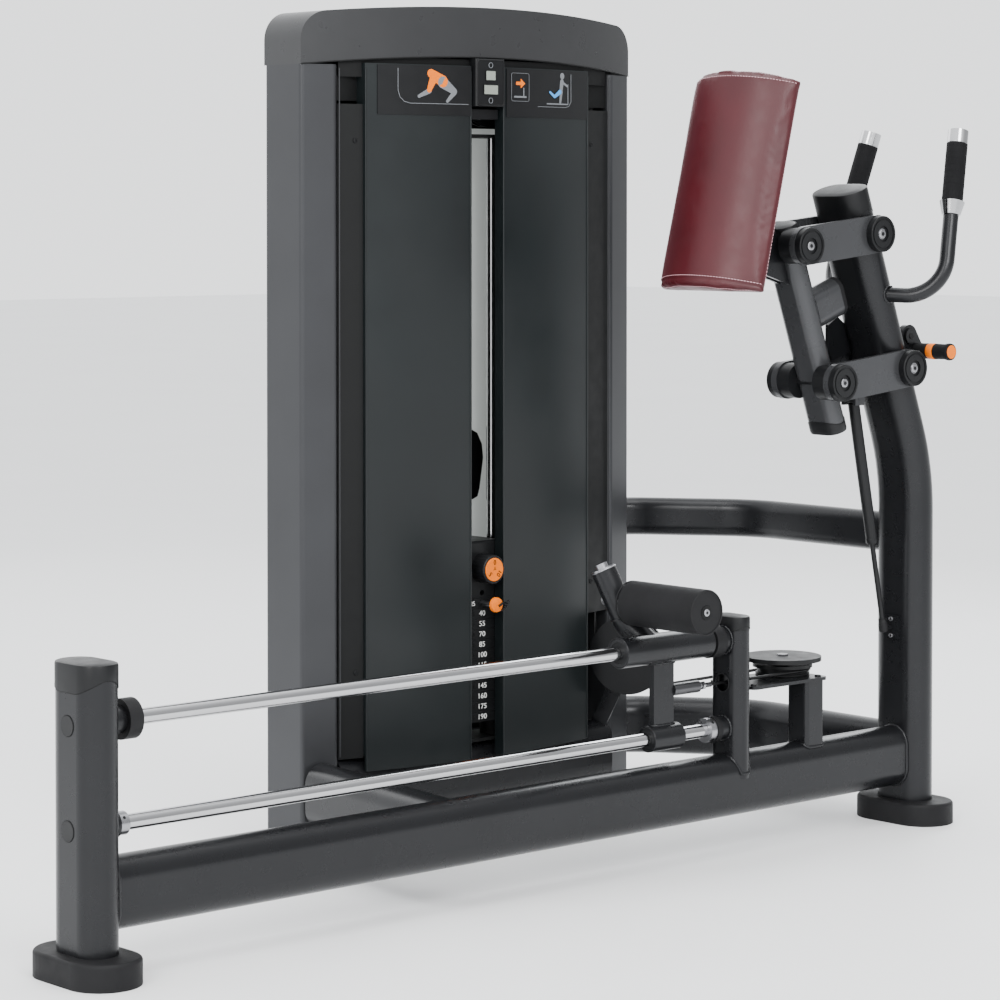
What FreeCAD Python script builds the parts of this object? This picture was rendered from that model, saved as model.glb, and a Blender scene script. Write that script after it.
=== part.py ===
"""Standing glute press with a weight stack tower, as an assembly of separate pieces.

X runs along the base beam from the left post to the right column, Y points back
towards the tower and Z is up.  The origin is on the floor under the left post.
"""
import FreeCAD, Part
import Sketcher
import math
import os
import re

Vector = FreeCAD.Vector
Rotation = FreeCAD.Rotation

os.makedirs("parts", exist_ok=True)
doc = FreeCAD.newDocument("glute_press")

# ---------------------------------------------------------------- driving dimensions, mm

dimensions = {
    # main frame tube: rounded flat sides, seen on the posts, the beam and the base tubes
    "tube_long": 115, "tube_short": 70, "tube_wall": 3,
    "small_long": 76, "small_short": 44, "small_wall": 2.5,
    "rod_span": 1900, "beam_low": 69, "post_low": 12, "post_high": 474, "cap_high": 14,
    "foot_long": 205, "foot_wide": 120, "foot_high": 42,
    "lean": 19.8, "column_bend": 679, "column_bend_radius": 460, "column_high": 1200,
    "bend_y": 400, "diagonal_x": 152, "diagonal_y": 196, "base_bend_radius": 190,
    # guide rods of the carriage
    "rod_radius": 12.5, "rod_hole_radius": 12.7, "upper_rod_high": 392.5, "lower_rod_high": 231.6,
    "plug_radius": 16, "bracket_centre": 1416, "bracket_high": 410, "bracket_cap_high": 26,
    # carriage
    "upper_sleeve_from": 1130, "upper_sleeve_long": 218, "upper_sleeve_radius": 27.5,
    "lower_sleeve_from": 1201, "lower_sleeve_long": 74, "lower_sleeve_radius": 23.5,
    "bearing_bore": 12.55, "bearing_radius": 20, "bearing_long": 32,
    "bar_from": 1212, "bar_wide": 50, "bar_thick": 12,
    "roller_radius": 40, "roller_near": -172, "roller_long": 190, "roller_x": 1175,
    "roller_high": 477, "axle_radius": 10, "roller_bore": 10.3, "arm_radius": 23,
    "swage_radius": 11, "swage_long": 66, "stud_radius": 4.5, "stud_long": 34,
    # cable and pulleys
    "cable_radius": 3, "cable_high": 314, "wheel_radius": 56, "cable_turn_radius": 50,
    "wheel_x": 1607, "guard_radius": 73, "guard_thick": 8,
    "pulley_bore": 8.3, "pulley_axle_radius": 8,
    "tower_pulley_x": 1500, "tower_pulley_y": 356, "tower_pulley_high": 316,
    "tower_pulley_radius": 75, "tower_turn_radius": 67,
    "top_pulley_high": 1385, "top_pulley_radius": 54, "top_turn_radius": 48,
    # tower
    "tower_left": 755, "tower_right": 1568, "upright_wide": 71, "tower_rear": 533,
    "tower_wall": 3, "bow_radius": 1291, "bow_centre_y": 1652, "tower_centre": 1161.5,
    "upright_low": 20, "seam_high": 1436, "seam_rise": 20, "tower_high": 1548, "crown_fall": 20,
    "shroud_low": 160, "shroud_thick": 3, "left_shroud_from": 875, "left_shroud_to": 1103,
    "right_shroud_from": 1180, "right_shroud_to": 1422, "shroud_high": 1440,
    # weight stack
    "stack_x": 1150, "stack_y": 433, "plate_wide": 250, "plate_deep": 94, "plate_pitch": 19.3,
    "plate_gap": 0.5, "stack_low": 222, "guide_spacing": 130, "head_high": 560, "guide_radius": 9.5,
    "guide_hole_radius": 10.5, "stem_radius": 12, "stem_hole_radius": 13.5, "pin_radius": 4.8,
    "pin_hole_radius": 5.2, "pin_face_y": 345, "dial_high": 509,
    # chest pad arm: a parallelogram of two link pairs
    "lower_pivot_x": 1829, "lower_pivot_z": 876, "pivot_run": -92.5, "pivot_rise": 254.5,
    "link_run": 197, "link_rise": 21, "link_radius": 35.5, "link_thick": 12, "link_inner": 59.5,
    "pivot_pin_radius": 10, "pivot_bore": 10.3, "cap_radius": 34, "cap_thick": 12,
    "arm_top": 1140, "arm_bottom": 768, "arm_offset": 13,
    "pad_lean": 14.2, "pad_long": 398, "pad_half_wide": 130, "pad_deep": 80,
    "pad_foot_x": 1376, "pad_foot_z": 1026, "board_thick": 12,
    # gas spring
    "spring_top_x": 1747, "spring_top_z": 818, "spring_foot_x": 1836, "spring_foot_z": 374,
    "spring_body_radius": 11, "spring_rod_radius": 5, "spring_body_long": 270,
    # release lever and handles
    "lever_x": 1872, "lever_z": 934, "grip_x": 1890, "grip_z": 906, "lever_grip_radius": 15,
    "handle_radius": 14.5, "grip_radius": 20,
}

sizes = doc.addObject("Spreadsheet::Sheet", "sizes")
for row, (alias, number) in enumerate(dimensions.items(), start=1):
    sizes.set(f"A{row}", alias)
    sizes.set(f"B{row}", str(number))
    sizes.setAlias(f"B{row}", alias)
doc.recompute()


def value(alias):
    """A driving dimension, read back from the sheet."""
    return float(getattr(sizes, alias))


# ---------------------------------------------------------------- building blocks

nodes = {}
TURN = {
    "x": Rotation(Vector(0, 1, 0), 90),
    "y": Rotation(Vector(1, 0, 0), -90),
    "z": Rotation(),
}


def expression(text):
    """Point every dimension named in the text at its cell."""
    def cell(word):
        name = word.group(0)
        return "sizes." + name if name in dimensions else name
    return re.sub(r"[A-Za-z_]\w*", cell, str(text))


def bind(item, **properties):
    for name, text in properties.items():
        item.setExpression(name, expression(text))
    return item


def place(item, at, turn=None):
    """Put an object at a worked-out point, or at three bound coordinates."""
    turn = turn or Rotation()
    if isinstance(at, Vector):
        item.Placement = FreeCAD.Placement(at, turn)
        return item
    item.Placement = FreeCAD.Placement(Vector(), turn)
    for axis, text in zip("xyz", at):
        item.setExpression(f".Placement.Base.{axis}", expression(text))
    return item


def keep(label, item):
    """Register a finished sub-part under its node name."""
    item.Label = label
    nodes[label] = item
    return item


def box(long, deep, high, at, turn=None):
    item = doc.addObject("Part::Box", "block")
    bind(item, Length=long, Width=deep, Height=high)
    return place(item, at, turn)


def rod(radius, length, at, axis="z"):
    item = doc.addObject("Part::Cylinder", "round")
    bind(item, Radius=radius, Height=length)
    return place(item, at, TURN[axis] if isinstance(axis, str) else axis)


def tube(outer, inner, length, at, axis="z"):
    return cut(rod(outer, length, at, axis), rod(inner, length, at, axis))


def fuse(*items):
    item = doc.addObject("Part::MultiFuse", "joined")
    item.Shapes = list(items)
    item.Refine = True
    return item


def group(*items):
    item = doc.addObject("Part::Compound", "group")
    item.Links = list(items)
    return item


def cut(base, *tools):
    item = doc.addObject("Part::Cut", "cut")
    item.Base = base
    item.Tool = tools[0] if len(tools) == 1 else fuse(*tools)
    return item


def common(*items):
    item = doc.addObject("Part::MultiCommon", "shared")
    item.Shapes = list(items)
    return item


def round_edges(base, radius, chosen):
    """Fillet the edges for which chosen(edge) is true."""
    doc.recompute()
    item = doc.addObject("Part::Fillet", "rounded")
    item.Base = base
    size = value(radius) if isinstance(radius, str) else radius
    edges = enumerate(base.Shape.Edges, start=1)
    item.Edges = [(number, size, size) for number, edge in edges if chosen(edge)]
    return item


def runs_along(edge, direction):
    if edge.Curve.TypeId != "Part::GeomLine":
        return False
    return abs(edge.tangentAt(edge.FirstParameter).dot(direction)) > 0.999


def slot_loop(sketch, spread, radius):
    """A closed outline of two half circles joined by two upright lines, about the origin."""
    half = float(sketch.Document.sizes.evalExpression(expression(spread))) / 2
    size = float(sketch.Document.sizes.evalExpression(expression(radius)))
    top = Part.ArcOfCircle(Part.Circle(Vector(0, half, 0), Vector(0, 0, 1), size), 0, math.pi)
    foot = Part.ArcOfCircle(Part.Circle(Vector(0, -half, 0), Vector(0, 0, 1), size), math.pi, 2 * math.pi)
    right = Part.LineSegment(Vector(size, -half, 0), Vector(size, half, 0))
    left = Part.LineSegment(Vector(-size, half, 0), Vector(-size, -half, 0))
    top_id, foot_id, right_id, left_id = sketch.addGeometry([top, foot, right, left])
    start, end, centre = 1, 2, 3
    for first, first_end, second, second_end in (
            (top_id, start, right_id, end), (top_id, end, left_id, start),
            (foot_id, start, left_id, end), (foot_id, end, right_id, start)):
        sketch.addConstraint(Sketcher.Constraint("Tangent", first, first_end, second, second_end))
    sketch.addConstraint(Sketcher.Constraint("Vertical", right_id))
    sketch.addConstraint(Sketcher.Constraint("PointOnObject", top_id, centre, -2))
    up = sketch.addConstraint(Sketcher.Constraint("DistanceY", -1, 1, top_id, centre, half))
    down = sketch.addConstraint(Sketcher.Constraint("DistanceY", foot_id, centre, -1, 1, half))
    round_size = sketch.addConstraint(Sketcher.Constraint("Radius", top_id, size))
    sketch.addConstraint(Sketcher.Constraint("Vertical", left_id))
    for number, text in ((up, f"({spread}) / 2"), (down, f"({spread}) / 2"), (round_size, radius)):
        sketch.setExpression(f"Constraints[{number}]", expression(text))


def slot_bar(plane, spread, radius, length, at, wall=None, turn=None):
    """A bar or tube with round sides, padded from one of its body's own planes."""
    body = doc.addObject("PartDesign::Body", "bar")
    sketch = body.newObject("Sketcher::SketchObject", "section")
    base = next(item for item in body.Origin.OriginFeatures if item.Role == plane)
    sketch.AttachmentSupport = (base, [""])
    sketch.MapMode = "FlatFace"
    slot_loop(sketch, spread, radius)
    if wall is not None:
        slot_loop(sketch, spread, f"({radius}) - {wall}")
    pad = body.newObject("PartDesign::Pad", "pad")
    pad.Profile = sketch
    bind(pad, Length=length)
    body.Tip = pad
    return place(body, at, turn)


def main_bar(plane, length, at, hollow=True, turn=None):
    wall = "tube_wall" if hollow else None
    return slot_bar(plane, "tube_long - tube_short", "tube_short / 2", length, at, wall, turn)


def small_bar(plane, length, at, hollow=True, turn=None):
    wall = "small_wall" if hollow else None
    return slot_bar(plane, "small_long - small_short", "small_short / 2", length, at, wall, turn)


def slot_wire(long, short, centre, normal, long_direction):
    """The outline of a round-sided tube as a wire, anywhere in space."""
    radius = short / 2
    half = (long - short) / 2
    side = long_direction.cross(normal)
    corners = [centre + long_direction * (half * end) + side * (radius * flank)
               for end, flank in ((1, 1), (1, -1), (-1, -1), (-1, 1))]
    tips = [centre + long_direction * ((half + radius) * end) for end in (1, -1)]
    return Part.Wire([
        Part.Arc(corners[0], tips[0], corners[1]).toShape(),
        Part.LineSegment(corners[1], corners[2]).toShape(),
        Part.Arc(corners[2], tips[1], corners[3]).toShape(),
        Part.LineSegment(corners[3], corners[0]).toShape()])


def rounded_path(points, radii):
    """Straight runs joined by tangent arcs, one radius for each inner point."""
    edges = []
    here = points[0]
    for before, corner, after, radius in zip(points, points[1:], points[2:], radii):
        inward = (before - corner).normalize()
        outward = (after - corner).normalize()
        half_turn = (math.pi - inward.getAngle(outward)) / 2
        reach = radius * math.tan(half_turn)
        middle = (inward + outward).normalize()
        enter, leave = corner + inward * reach, corner + outward * reach
        crest = corner + middle * (radius / math.cos(half_turn) - radius)
        edges.append(Part.LineSegment(here, enter).toShape())
        edges.append(Part.Arc(enter, crest, leave).toShape())
        here = leave
    edges.append(Part.LineSegment(here, points[-1]).toShape())
    return Part.Wire(edges)


def sweep(path, profile):
    return path.makePipeShell([profile], True, False)


def bent_slot_tube(points, radii, long, short, wall, long_direction):
    """Outer and inner solids of a bent round-sided tube."""
    path = rounded_path(points, radii)
    start = points[0]
    normal = (points[1] - points[0]).normalize()
    outer = sweep(path, slot_wire(long, short, start, normal, long_direction))
    inner = sweep(path, slot_wire(long - 2 * wall, short - 2 * wall, start, normal, long_direction))
    return outer, inner


def round_tube(points, radii, radius):
    path = rounded_path(points, radii) if radii else Part.Wire([Part.LineSegment(*points).toShape()])
    normal = points[1] - points[0]
    return sweep(path, Part.Wire([Part.Circle(points[0], normal, radius).toShape()]))


def feature(label, shape):
    """A sub-part whose shape is worked out here from the sheet."""
    item = doc.addObject("Part::Feature", "piece")
    item.Shape = shape
    item.Placement = FreeCAD.Placement()
    return keep(label, item)


lean_angle = math.radians(value("lean"))
LEAN_UP = Vector(-math.sin(lean_angle), 0, math.cos(lean_angle))
LEAN_OUT = Vector(math.cos(lean_angle), 0, math.sin(lean_angle))
LEANING = Rotation(Vector(0, 1, 0), -value("lean"))


# ---------------------------------------------------------------- base frame

def post_solid():
    return main_bar("XY_Plane", "post_high", ("0", "0", "0"), hollow=False)


def left_post():
    wall = main_bar("XY_Plane", "post_high - post_low", ("0", "0", "post_low"))
    holes = []
    for high in ("upper_rod_high", "lower_rod_high"):
        holes.append(rod("rod_hole_radius", "tube_short", ("0", "0", high), "x"))
        holes.append(rod("plug_radius", "tube_short / 2", ("-tube_short / 2 - 2", "0", high), "x"))
    keep("left_post", cut(wall, *holes))
    cap = main_bar("XY_Plane", "cap_high", ("0", "0", "post_high"), hollow=False)
    keep("left_post_cap", round_edges(cap, 5, lambda edge: edge.CenterOfMass.z > value("post_high") + 10))
    plugs = []
    for high in ("upper_rod_high", "lower_rod_high"):
        plugs.append(rod("plug_radius - 0.2", "4", ("-tube_short / 2 - 1", "0", high), "x"))
    keep("post_plugs", group(*plugs))


def rubber_foot(label, x, socket):
    foot = slot_bar("XY_Plane", "foot_long - foot_wide", "foot_wide / 2", "foot_high", (x, "0", "0"))
    soft = round_edges(foot, 6, lambda edge: edge.CenterOfMass.z > value("foot_high") - 1)
    keep(label, cut(soft, socket))


def base_beam():
    bar = main_bar("YZ_Plane", "rod_span - 20", ("10", "0", "beam_low + tube_long / 2"))
    column = main_bar("XY_Plane", "post_high", ("rod_span", "0", "0"), hollow=False)
    keep("base_beam", cut(bar, post_solid(), column))


def beam_solid():
    return main_bar("YZ_Plane", "rod_span", ("0", "0", "beam_low + tube_long / 2"), hollow=False)


def column_points():
    top_x = value("rod_span") - (value("column_high") - value("column_bend")) * math.tan(lean_angle)
    return [Vector(value("rod_span"), 0, value("post_low")),
            Vector(value("rod_span"), 0, value("column_bend")),
            Vector(top_x, 0, value("column_high"))]


def column_shapes():
    return bent_slot_tube(column_points(), [value("column_bend_radius")], value("tube_long"),
                          value("tube_short"), value("tube_wall"), Vector(0, 1, 0))


def right_column():
    outer, inner = column_shapes()
    feature("right_column", outer.cut(inner))
    foot_socket = main_bar("XY_Plane", "foot_high", ("rod_span", "0", "post_low"), hollow=False)
    rubber_foot("right_foot", "rod_span", foot_socket)
    top = column_points()[-1]
    cap = main_bar("XY_Plane", "cap_high", (str(top.x), "0", "column_high"), False, LEANING)
    limit = top + LEAN_UP * 10
    keep("column_cap", round_edges(
        cap, 5, lambda edge: (edge.CenterOfMass - limit).dot(LEAN_UP) > 0))


def plan_path(start_y, height, end_run):
    """The bent plan route from the column back to the tower's rear frame."""
    x = value("rod_span")
    corner = Vector(x, value("bend_y"), height)
    diagonal = Vector(-value("diagonal_x"), value("diagonal_y"), 0).normalize()
    far = corner + diagonal * end_run
    tail = Vector(value("tower_right") - 50, far.y, height)
    return [Vector(x, start_y, height), corner, far, tail]


def back_tubes():
    """The base tube and the upper brace, from the column round to the tower's rear frame."""
    column_outer, _ = column_shapes()
    rail_y = plan_path(0, 0, 280)[2].y
    low = value("beam_low") + value("tube_long") / 2
    radii = [value("base_bend_radius"), 120]
    outer, inner = bent_slot_tube(plan_path(20, low, 280), radii, value("tube_long"),
                                  value("tube_short"), value("tube_wall"), Vector(0, 0, 1))
    beam = beam_solid()
    doc.recompute()
    feature("right_base_tube", outer.cut(inner).cut([column_outer, beam.Shape]).removeSplitter())
    brace_high = 552
    outer, inner = bent_slot_tube(plan_path(20, brace_high, 280), radii, value("small_long"),
                                  value("small_short"), value("small_wall"), Vector(0, 0, 1))
    feature("upper_brace", outer.cut(inner).cut(column_outer).removeSplitter())
    return rail_y, brace_high


def left_base_tube():
    yaw = math.degrees(math.atan2(55, 415))
    turn = Rotation(Vector(0, 0, 1), -yaw)
    bar = main_bar("XZ_Plane", "410", ("785", "407", "beam_low + tube_long / 2"), True, turn)
    keep("left_base_tube", cut(bar, beam_solid()))


left_post()
rubber_foot("left_foot", "0", main_bar("XY_Plane", "foot_high", ("0", "0", "post_low"), hollow=False))
base_beam()
right_column()
REAR_RAIL_Y, BRACE_HIGH = back_tubes()
left_base_tube()


# ---------------------------------------------------------------- guide rods and their bracket

def solid_small_bar(at, length):
    return small_bar("XY_Plane", length, at, hollow=False)


def rod_bracket():
    foot = 140
    wall = small_bar("XY_Plane", f"bracket_high - {foot}", ("bracket_centre", "0", str(foot)))
    front = "bracket_centre - small_short / 2 - 2"
    cable_hole = rod("16.5", "small_short + 4", (front, "0", "cable_high"), "x")
    rod_holes = [rod("rod_hole_radius", "small_short / 2", (front, "0", high), "x")
                 for high in ("upper_rod_high", "lower_rod_high")]
    keep("rod_bracket", cut(wall, beam_solid(), cable_hole, *rod_holes))
    cap = solid_small_bar(("bracket_centre", "0", "bracket_high"), "bracket_cap_high")
    top = value("bracket_high") + value("bracket_cap_high") - 1
    keep("bracket_cap", round_edges(cap, 5, lambda edge: edge.CenterOfMass.z > top))


def guide_rods():
    for label, high in (("upper_guide_rod", "upper_rod_high"), ("lower_guide_rod", "lower_rod_high")):
        keep(label, rod("rod_radius", "bracket_centre + 19 + 31", ("-31", "0", high), "x"))


def rod_fittings():
    """Bosses, shaft collars and rubber bumpers, each a ring on one of the rods."""
    def on_rod(radius, start, length, high):
        return tube(radius, "rod_hole_radius", length, (start, "0", high), "x")
    upper, lower = "upper_rod_high", "lower_rod_high"
    face = "bracket_centre - small_short / 2"
    keep("rod_bosses", group(
        on_rod("22", "tube_short / 2", "25", upper),
        on_rod("22", "tube_short / 2", "15", lower),
        on_rod("24", face + " - 17", "17", upper),
        on_rod("21", face + " - 22", "22", lower)))
    keep("rod_bumpers", group(
        on_rod("32", "tube_short / 2 + 25", "25", upper),
        on_rod("30", face + " - 42", "25", upper),
        on_rod("24", face + " - 34", "12", lower)))
    keep("shaft_collars", group(
        on_rod("18.5", "tube_short / 2 + 15", "18", lower),
        on_rod("22", face + " - 49", "15", lower)))


# ---------------------------------------------------------------- carriage

ARM_FOOT = Vector(1214, -2, 392)
ARM_ELBOW = Vector(1190, 42, 438)
ARM_TOP = Vector(1166, 76, 530)


def carriage():
    bore = "bearing_radius + 0.1"
    upper = ("upper_sleeve_from", "0", "upper_rod_high")
    lower = ("lower_sleeve_from", "0", "lower_rod_high")
    keep("upper_sleeve", tube("upper_sleeve_radius", bore, "upper_sleeve_long", upper, "x"))
    keep("lower_sleeve", tube("lower_sleeve_radius", bore, "lower_sleeve_long", lower, "x"))
    bearings = []
    for name, high in (("upper_sleeve", "upper_rod_high"), ("lower_sleeve", "lower_rod_high")):
        for start in (f"{name}_from + 1", f"{name}_from + {name}_long - bearing_long - 1"):
            at = (start, "0", high)
            bearings.append(tube("bearing_radius", "bearing_bore", "bearing_long", at, "x"))
    keep("linear_bearings", group(*bearings))
    upper_solid = rod("upper_sleeve_radius", "upper_sleeve_long", upper, "x")
    lower_solid = rod("lower_sleeve_radius", "lower_sleeve_long", lower, "x")
    bar = box("bar_wide", "bar_thick", "upper_rod_high - lower_rod_high",
              ("bar_from", "-bar_thick / 2", "lower_rod_high"))
    keep("carriage_bar", cut(bar, upper_solid, lower_solid))
    swage_at = ("bar_from + bar_wide", "0", "cable_high")
    keep("cable_swage", rod("swage_radius", "swage_long", swage_at, "x"))
    stud_at = ("bar_from + bar_wide + swage_long", "0", "cable_high")
    keep("cable_stud", rod("stud_radius", "stud_long", stud_at, "x"))


def roller_arm():
    sleeve = nodes["upper_sleeve"].Base.Shape
    radius = value("arm_radius")
    points = [ARM_FOOT, ARM_ELBOW, ARM_TOP]
    outer = round_tube(points, [30], radius)
    inner = round_tube(points, [30], radius - 4)
    hole = Part.makeCylinder(value("axle_radius") + 0.3, 120,
                             Vector(value("roller_x"), 0, value("roller_high")), Vector(0, 1, 0))
    feature("roller_arm", outer.cut(inner).cut(sleeve).cut(hole))
    along = (ARM_TOP - ARM_ELBOW).normalize()
    washer = Part.makeCylinder(radius - 1, 4, ARM_TOP, along)
    nut = Part.makeCylinder(11, 9, ARM_TOP + along * 4, along)
    feature("arm_end_nut", washer.fuse(nut))
    near = "roller_near + 2"
    keep("roller_axle", rod("axle_radius", "-roller_near + 80", ("roller_x", near, "roller_high"), "y"))


def foot_roller():
    at = ("roller_x", "roller_near", "roller_high")
    body = rod("roller_radius", "roller_long - 10", at, "y")
    bore = rod("roller_bore", "roller_long", ("roller_x", "roller_near - 1", "roller_high"), "y")
    recess = rod("13", "9", ("roller_x", "roller_near - 1", "roller_high"), "y")
    keep("foot_roller", cut(body, bore, recess))


# ---------------------------------------------------------------- cable drive

WHEEL = Vector(value("wheel_x"), value("cable_turn_radius"), value("cable_high"))
TOWER_PULLEY = Vector(value("tower_pulley_x"), value("tower_pulley_y"), value("tower_pulley_high"))


def cable_geometry():
    """Where the cable leaves the wheel, and the upright plane that it then runs in."""
    flat = Vector(TOWER_PULLEY.x - WHEEL.x, TOWER_PULLEY.y - WHEEL.y, 0)
    turn = value("cable_turn_radius")
    leave_angle = math.atan2(flat.y, flat.x) - math.acos(turn / flat.Length)
    spoke = Vector(math.cos(leave_angle), math.sin(leave_angle), 0)
    leave = WHEEL + spoke * turn
    along = Vector(-spoke.y, spoke.x, 0)
    return leave, leave_angle, along


LEAVE, LEAVE_ANGLE, ALONG = cable_geometry()
ASIDE = Vector(ALONG.y, -ALONG.x, 0)
RISE = TOWER_PULLEY + ALONG * value("tower_turn_radius")
TOP_RIGHT = Vector(RISE.x - value("top_turn_radius"), value("stack_y"), value("top_pulley_high"))
TOP_LEFT = Vector(value("stack_x") + value("top_turn_radius"), value("stack_y"), value("top_pulley_high"))


def cable_wheel():
    """A wheel on an upright axle; its small lower flange lets the cable leave downwards."""
    def disc(size, low, height):
        return rod(size, str(height), ("wheel_x", "cable_turn_radius", f"cable_high + {low}"))
    groove_floor = "cable_turn_radius - cable_radius - 0.4"
    wheel = fuse(disc("wheel_radius", 4, 6), disc(groove_floor, -10, 20), disc("cable_turn_radius + 1", -10, 3.5))
    keep("cable_pulley", cut(wheel, disc("pulley_bore", -11, 22)))


def grooved_wheel(label, centre, axis, radius, thick, turn_radius):
    """A pulley wheel with a square groove that the cable clears all round."""
    turn = Rotation(Vector(0, 0, 1), axis)
    def disc(size, height):
        return rod(size, str(height), centre - axis * (height / 2), turn)
    groove_floor = f"{turn_radius} - cable_radius - 0.4"
    groove = cut(disc(f"{radius} + 1", 8), disc(groove_floor, 9))
    bore = disc("pulley_bore", thick + 2)
    keep(label, cut(disc(radius, thick), groove, bore))


def hexagon(across, height, at):
    item = doc.addObject("Part::Prism", "hexagon")
    item.Polygon = 6
    bind(item, Circumradius=across, Height=height)
    return place(item, at)


def pulley_mount():
    x, y = "wheel_x", "cable_turn_radius"
    half = 25
    post = box("50", "50", "147", (f"{x} + 10 - {half}", f"-{half}", "150"))
    rounded = round_edges(post, 8, lambda edge: runs_along(edge, Vector(0, 0, 1)))
    keep("pulley_post", cut(rounded, beam_solid()))
    plate = box("202", "118", "6", ("bracket_centre + 32", "-28", "297"))
    plate = round_edges(plate, 12, lambda edge: runs_along(edge, Vector(0, 0, 1)))
    keep("pulley_plate", cut(plate, rod("pulley_axle_radius + 0.2", "20", (x, y, "290"))))
    guard = fuse(rod("guard_radius", "guard_thick", (x, y, "330")), rod("13", "6", (x, y, "324.6")))
    keep("pulley_guard", cut(guard, rod("pulley_axle_radius + 0.2", "40", (x, y, "310"))))
    keep("pulley_bolt", fuse(rod("pulley_axle_radius", "54", (x, y, "286.5")),
                             hexagon("13", "10.5", (x, y, "286.5")), hexagon("11", "3", (x, y, "338"))))


def pulleys():
    cable_wheel()
    grooved_wheel("tower_pulley", TOWER_PULLEY, ASIDE, "tower_pulley_radius", 20, "tower_turn_radius")
    back = Vector(0, 1, 0)
    for label, centre in (("top_pulley_right", TOP_RIGHT), ("top_pulley_left", TOP_LEFT)):
        grooved_wheel(label, centre, back, "top_pulley_radius", 14, "top_turn_radius")


def tower_pulley_bracket():
    """A slanted plate from the base tube up to the axle, on the side away from the walkway."""
    up = Vector(0, 0, 1)
    foot = ALONG * 92 + up * (120 - TOWER_PULLEY.z)
    direction = Vector(foot).normalize()
    sideways = direction.cross(ASIDE)
    start = TOWER_PULLEY + ASIDE * 12
    corners = [start - direction * 18 + sideways * 15, start - direction * 18 - sideways * 15,
               start + foot - sideways * 15, start + foot + sideways * 15]
    plate = Part.Face(Part.makePolygon(corners + corners[:1])).extrude(ASIDE * 7)
    axle = Part.makeCylinder(value("pulley_axle_radius"), 34, TOWER_PULLEY - ASIDE * 15, ASIDE)
    head = Part.makeCylinder(14, 4, TOWER_PULLEY - ASIDE * 15, ASIDE)
    tower_tube = tower_base_solid()
    doc.recompute()
    feature("tower_pulley_bracket", plate.fuse([axle, head]).cut(tower_tube.Shape))


def cable():
    """The steel cable, one solid for each straight run or turn."""
    radius = value("cable_radius")
    def run(start, end):
        return Part.makeCylinder(radius, (end - start).Length, start, end - start)
    def turn(centre, spoke, normal, size, angle):
        """A turn about an axis that starts at the end of a spoke."""
        start = centre + spoke * size
        middle = centre + Rotation(normal, angle / 2).multVec(spoke) * size
        end = centre + Rotation(normal, angle).multVec(spoke) * size
        arc = Part.Wire([Part.Arc(start, middle, end).toShape()])
        profile = Part.Wire([Part.Circle(start, normal.cross(spoke), radius).toShape()])
        return arc.makePipeShell([profile], True, False)
    keep("cable_drive", rod("cable_radius", "wheel_x - bar_from - bar_wide - swage_long - stud_long",
                            ("bar_from + bar_wide + swage_long + stud_long", "0", "cable_high"), "x"))
    up = Vector(0, 0, 1)
    back = Vector(0, 1, 0)
    wheel_turn = turn(WHEEL, -back, up, value("cable_turn_radius"), math.degrees(LEAVE_ANGLE) + 90)
    size = value("tower_turn_radius")
    reach = (TOWER_PULLEY - LEAVE).dot(ALONG)
    drop = math.asin(size / reach) - math.atan2(TOWER_PULLEY.z - LEAVE.z, reach)
    spoke = ALONG * -math.sin(drop) - up * math.cos(drop)
    enter = TOWER_PULLEY + spoke * size
    tower_turn = turn(TOWER_PULLEY, spoke, ASIDE, size, math.degrees(math.pi / 2 + drop))
    top = value("top_turn_radius")
    across = Vector(1, 0, 0)
    right_side = TOP_RIGHT + across * top
    right_turn = turn(TOP_RIGHT, across, -back, top, 90)
    left_turn = turn(TOP_LEFT, up, -back, top, 90)
    feature("cable_return", Part.makeCompound([
        wheel_turn, run(LEAVE + (enter - LEAVE).normalize() * 0.4, enter), tower_turn, run(RISE, right_side), right_turn,
        run(TOP_RIGHT + up * top, TOP_LEFT + up * top), left_turn]))
    keep("cable_drop", rod("cable_radius", "top_pulley_high - head_high",
                           ("stack_x", "stack_y", "head_high")))


def tower_base_solid():
    length = "tower_right - tower_left - 2 * upright_wide"
    at = ("tower_left + upright_wide", "431", "beam_low + tube_long / 2")
    return main_bar("YZ_Plane", length, at, hollow=False)


rod_bracket()
guide_rods()
rod_fittings()
carriage()
doc.recompute()
roller_arm()
foot_roller()
pulley_mount()
pulleys()
tower_pulley_bracket()
cable()


# ---------------------------------------------------------------- tower

SPAN = "(tower_right - tower_left)"
CROWN = f"({SPAN} ^ 2 / 4 + crown_fall ^ 2) / (2 * crown_fall)"
SEAM = f"({SPAN} ^ 2 / 4 + seam_rise ^ 2) / (2 * seam_rise)"
FRONT_Y = "340"


def bow(inset):
    """The tower's bowed front, as an upright cylinder that the fronts are cut from."""
    at = ("tower_centre", "bow_centre_y", "0")
    return rod(f"bow_radius - {inset}", "tower_high + 20", at)


def bow_panel(start, end, low, high, inset, thick):
    """A thin sheet that follows the bowed front."""
    block = box(f"({end}) - ({start})", "150", f"({high}) - ({low})", (start, FRONT_Y, low))
    return common(block, cut(bow(inset), bow(f"{inset} - {thick}")))


def upright(label, start):
    deep = f"tower_rear - {FRONT_Y}"
    high = "seam_high - upright_low"
    outside = common(box("upright_wide", deep, high, (start, FRONT_Y, "upright_low")), bow("0"))
    outside = round_edges(outside, 9, lambda edge: runs_along(edge, Vector(0, 0, 1)))
    room = box("upright_wide - 2 * tower_wall", f"{deep} - tower_wall", high,
               (f"{start} + tower_wall", FRONT_Y, "upright_low"))
    room = common(room, bow("tower_wall"))
    room = round_edges(room, 6, lambda edge: runs_along(edge, Vector(0, 0, 1)))
    keep(label, cut(outside, room))


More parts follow.
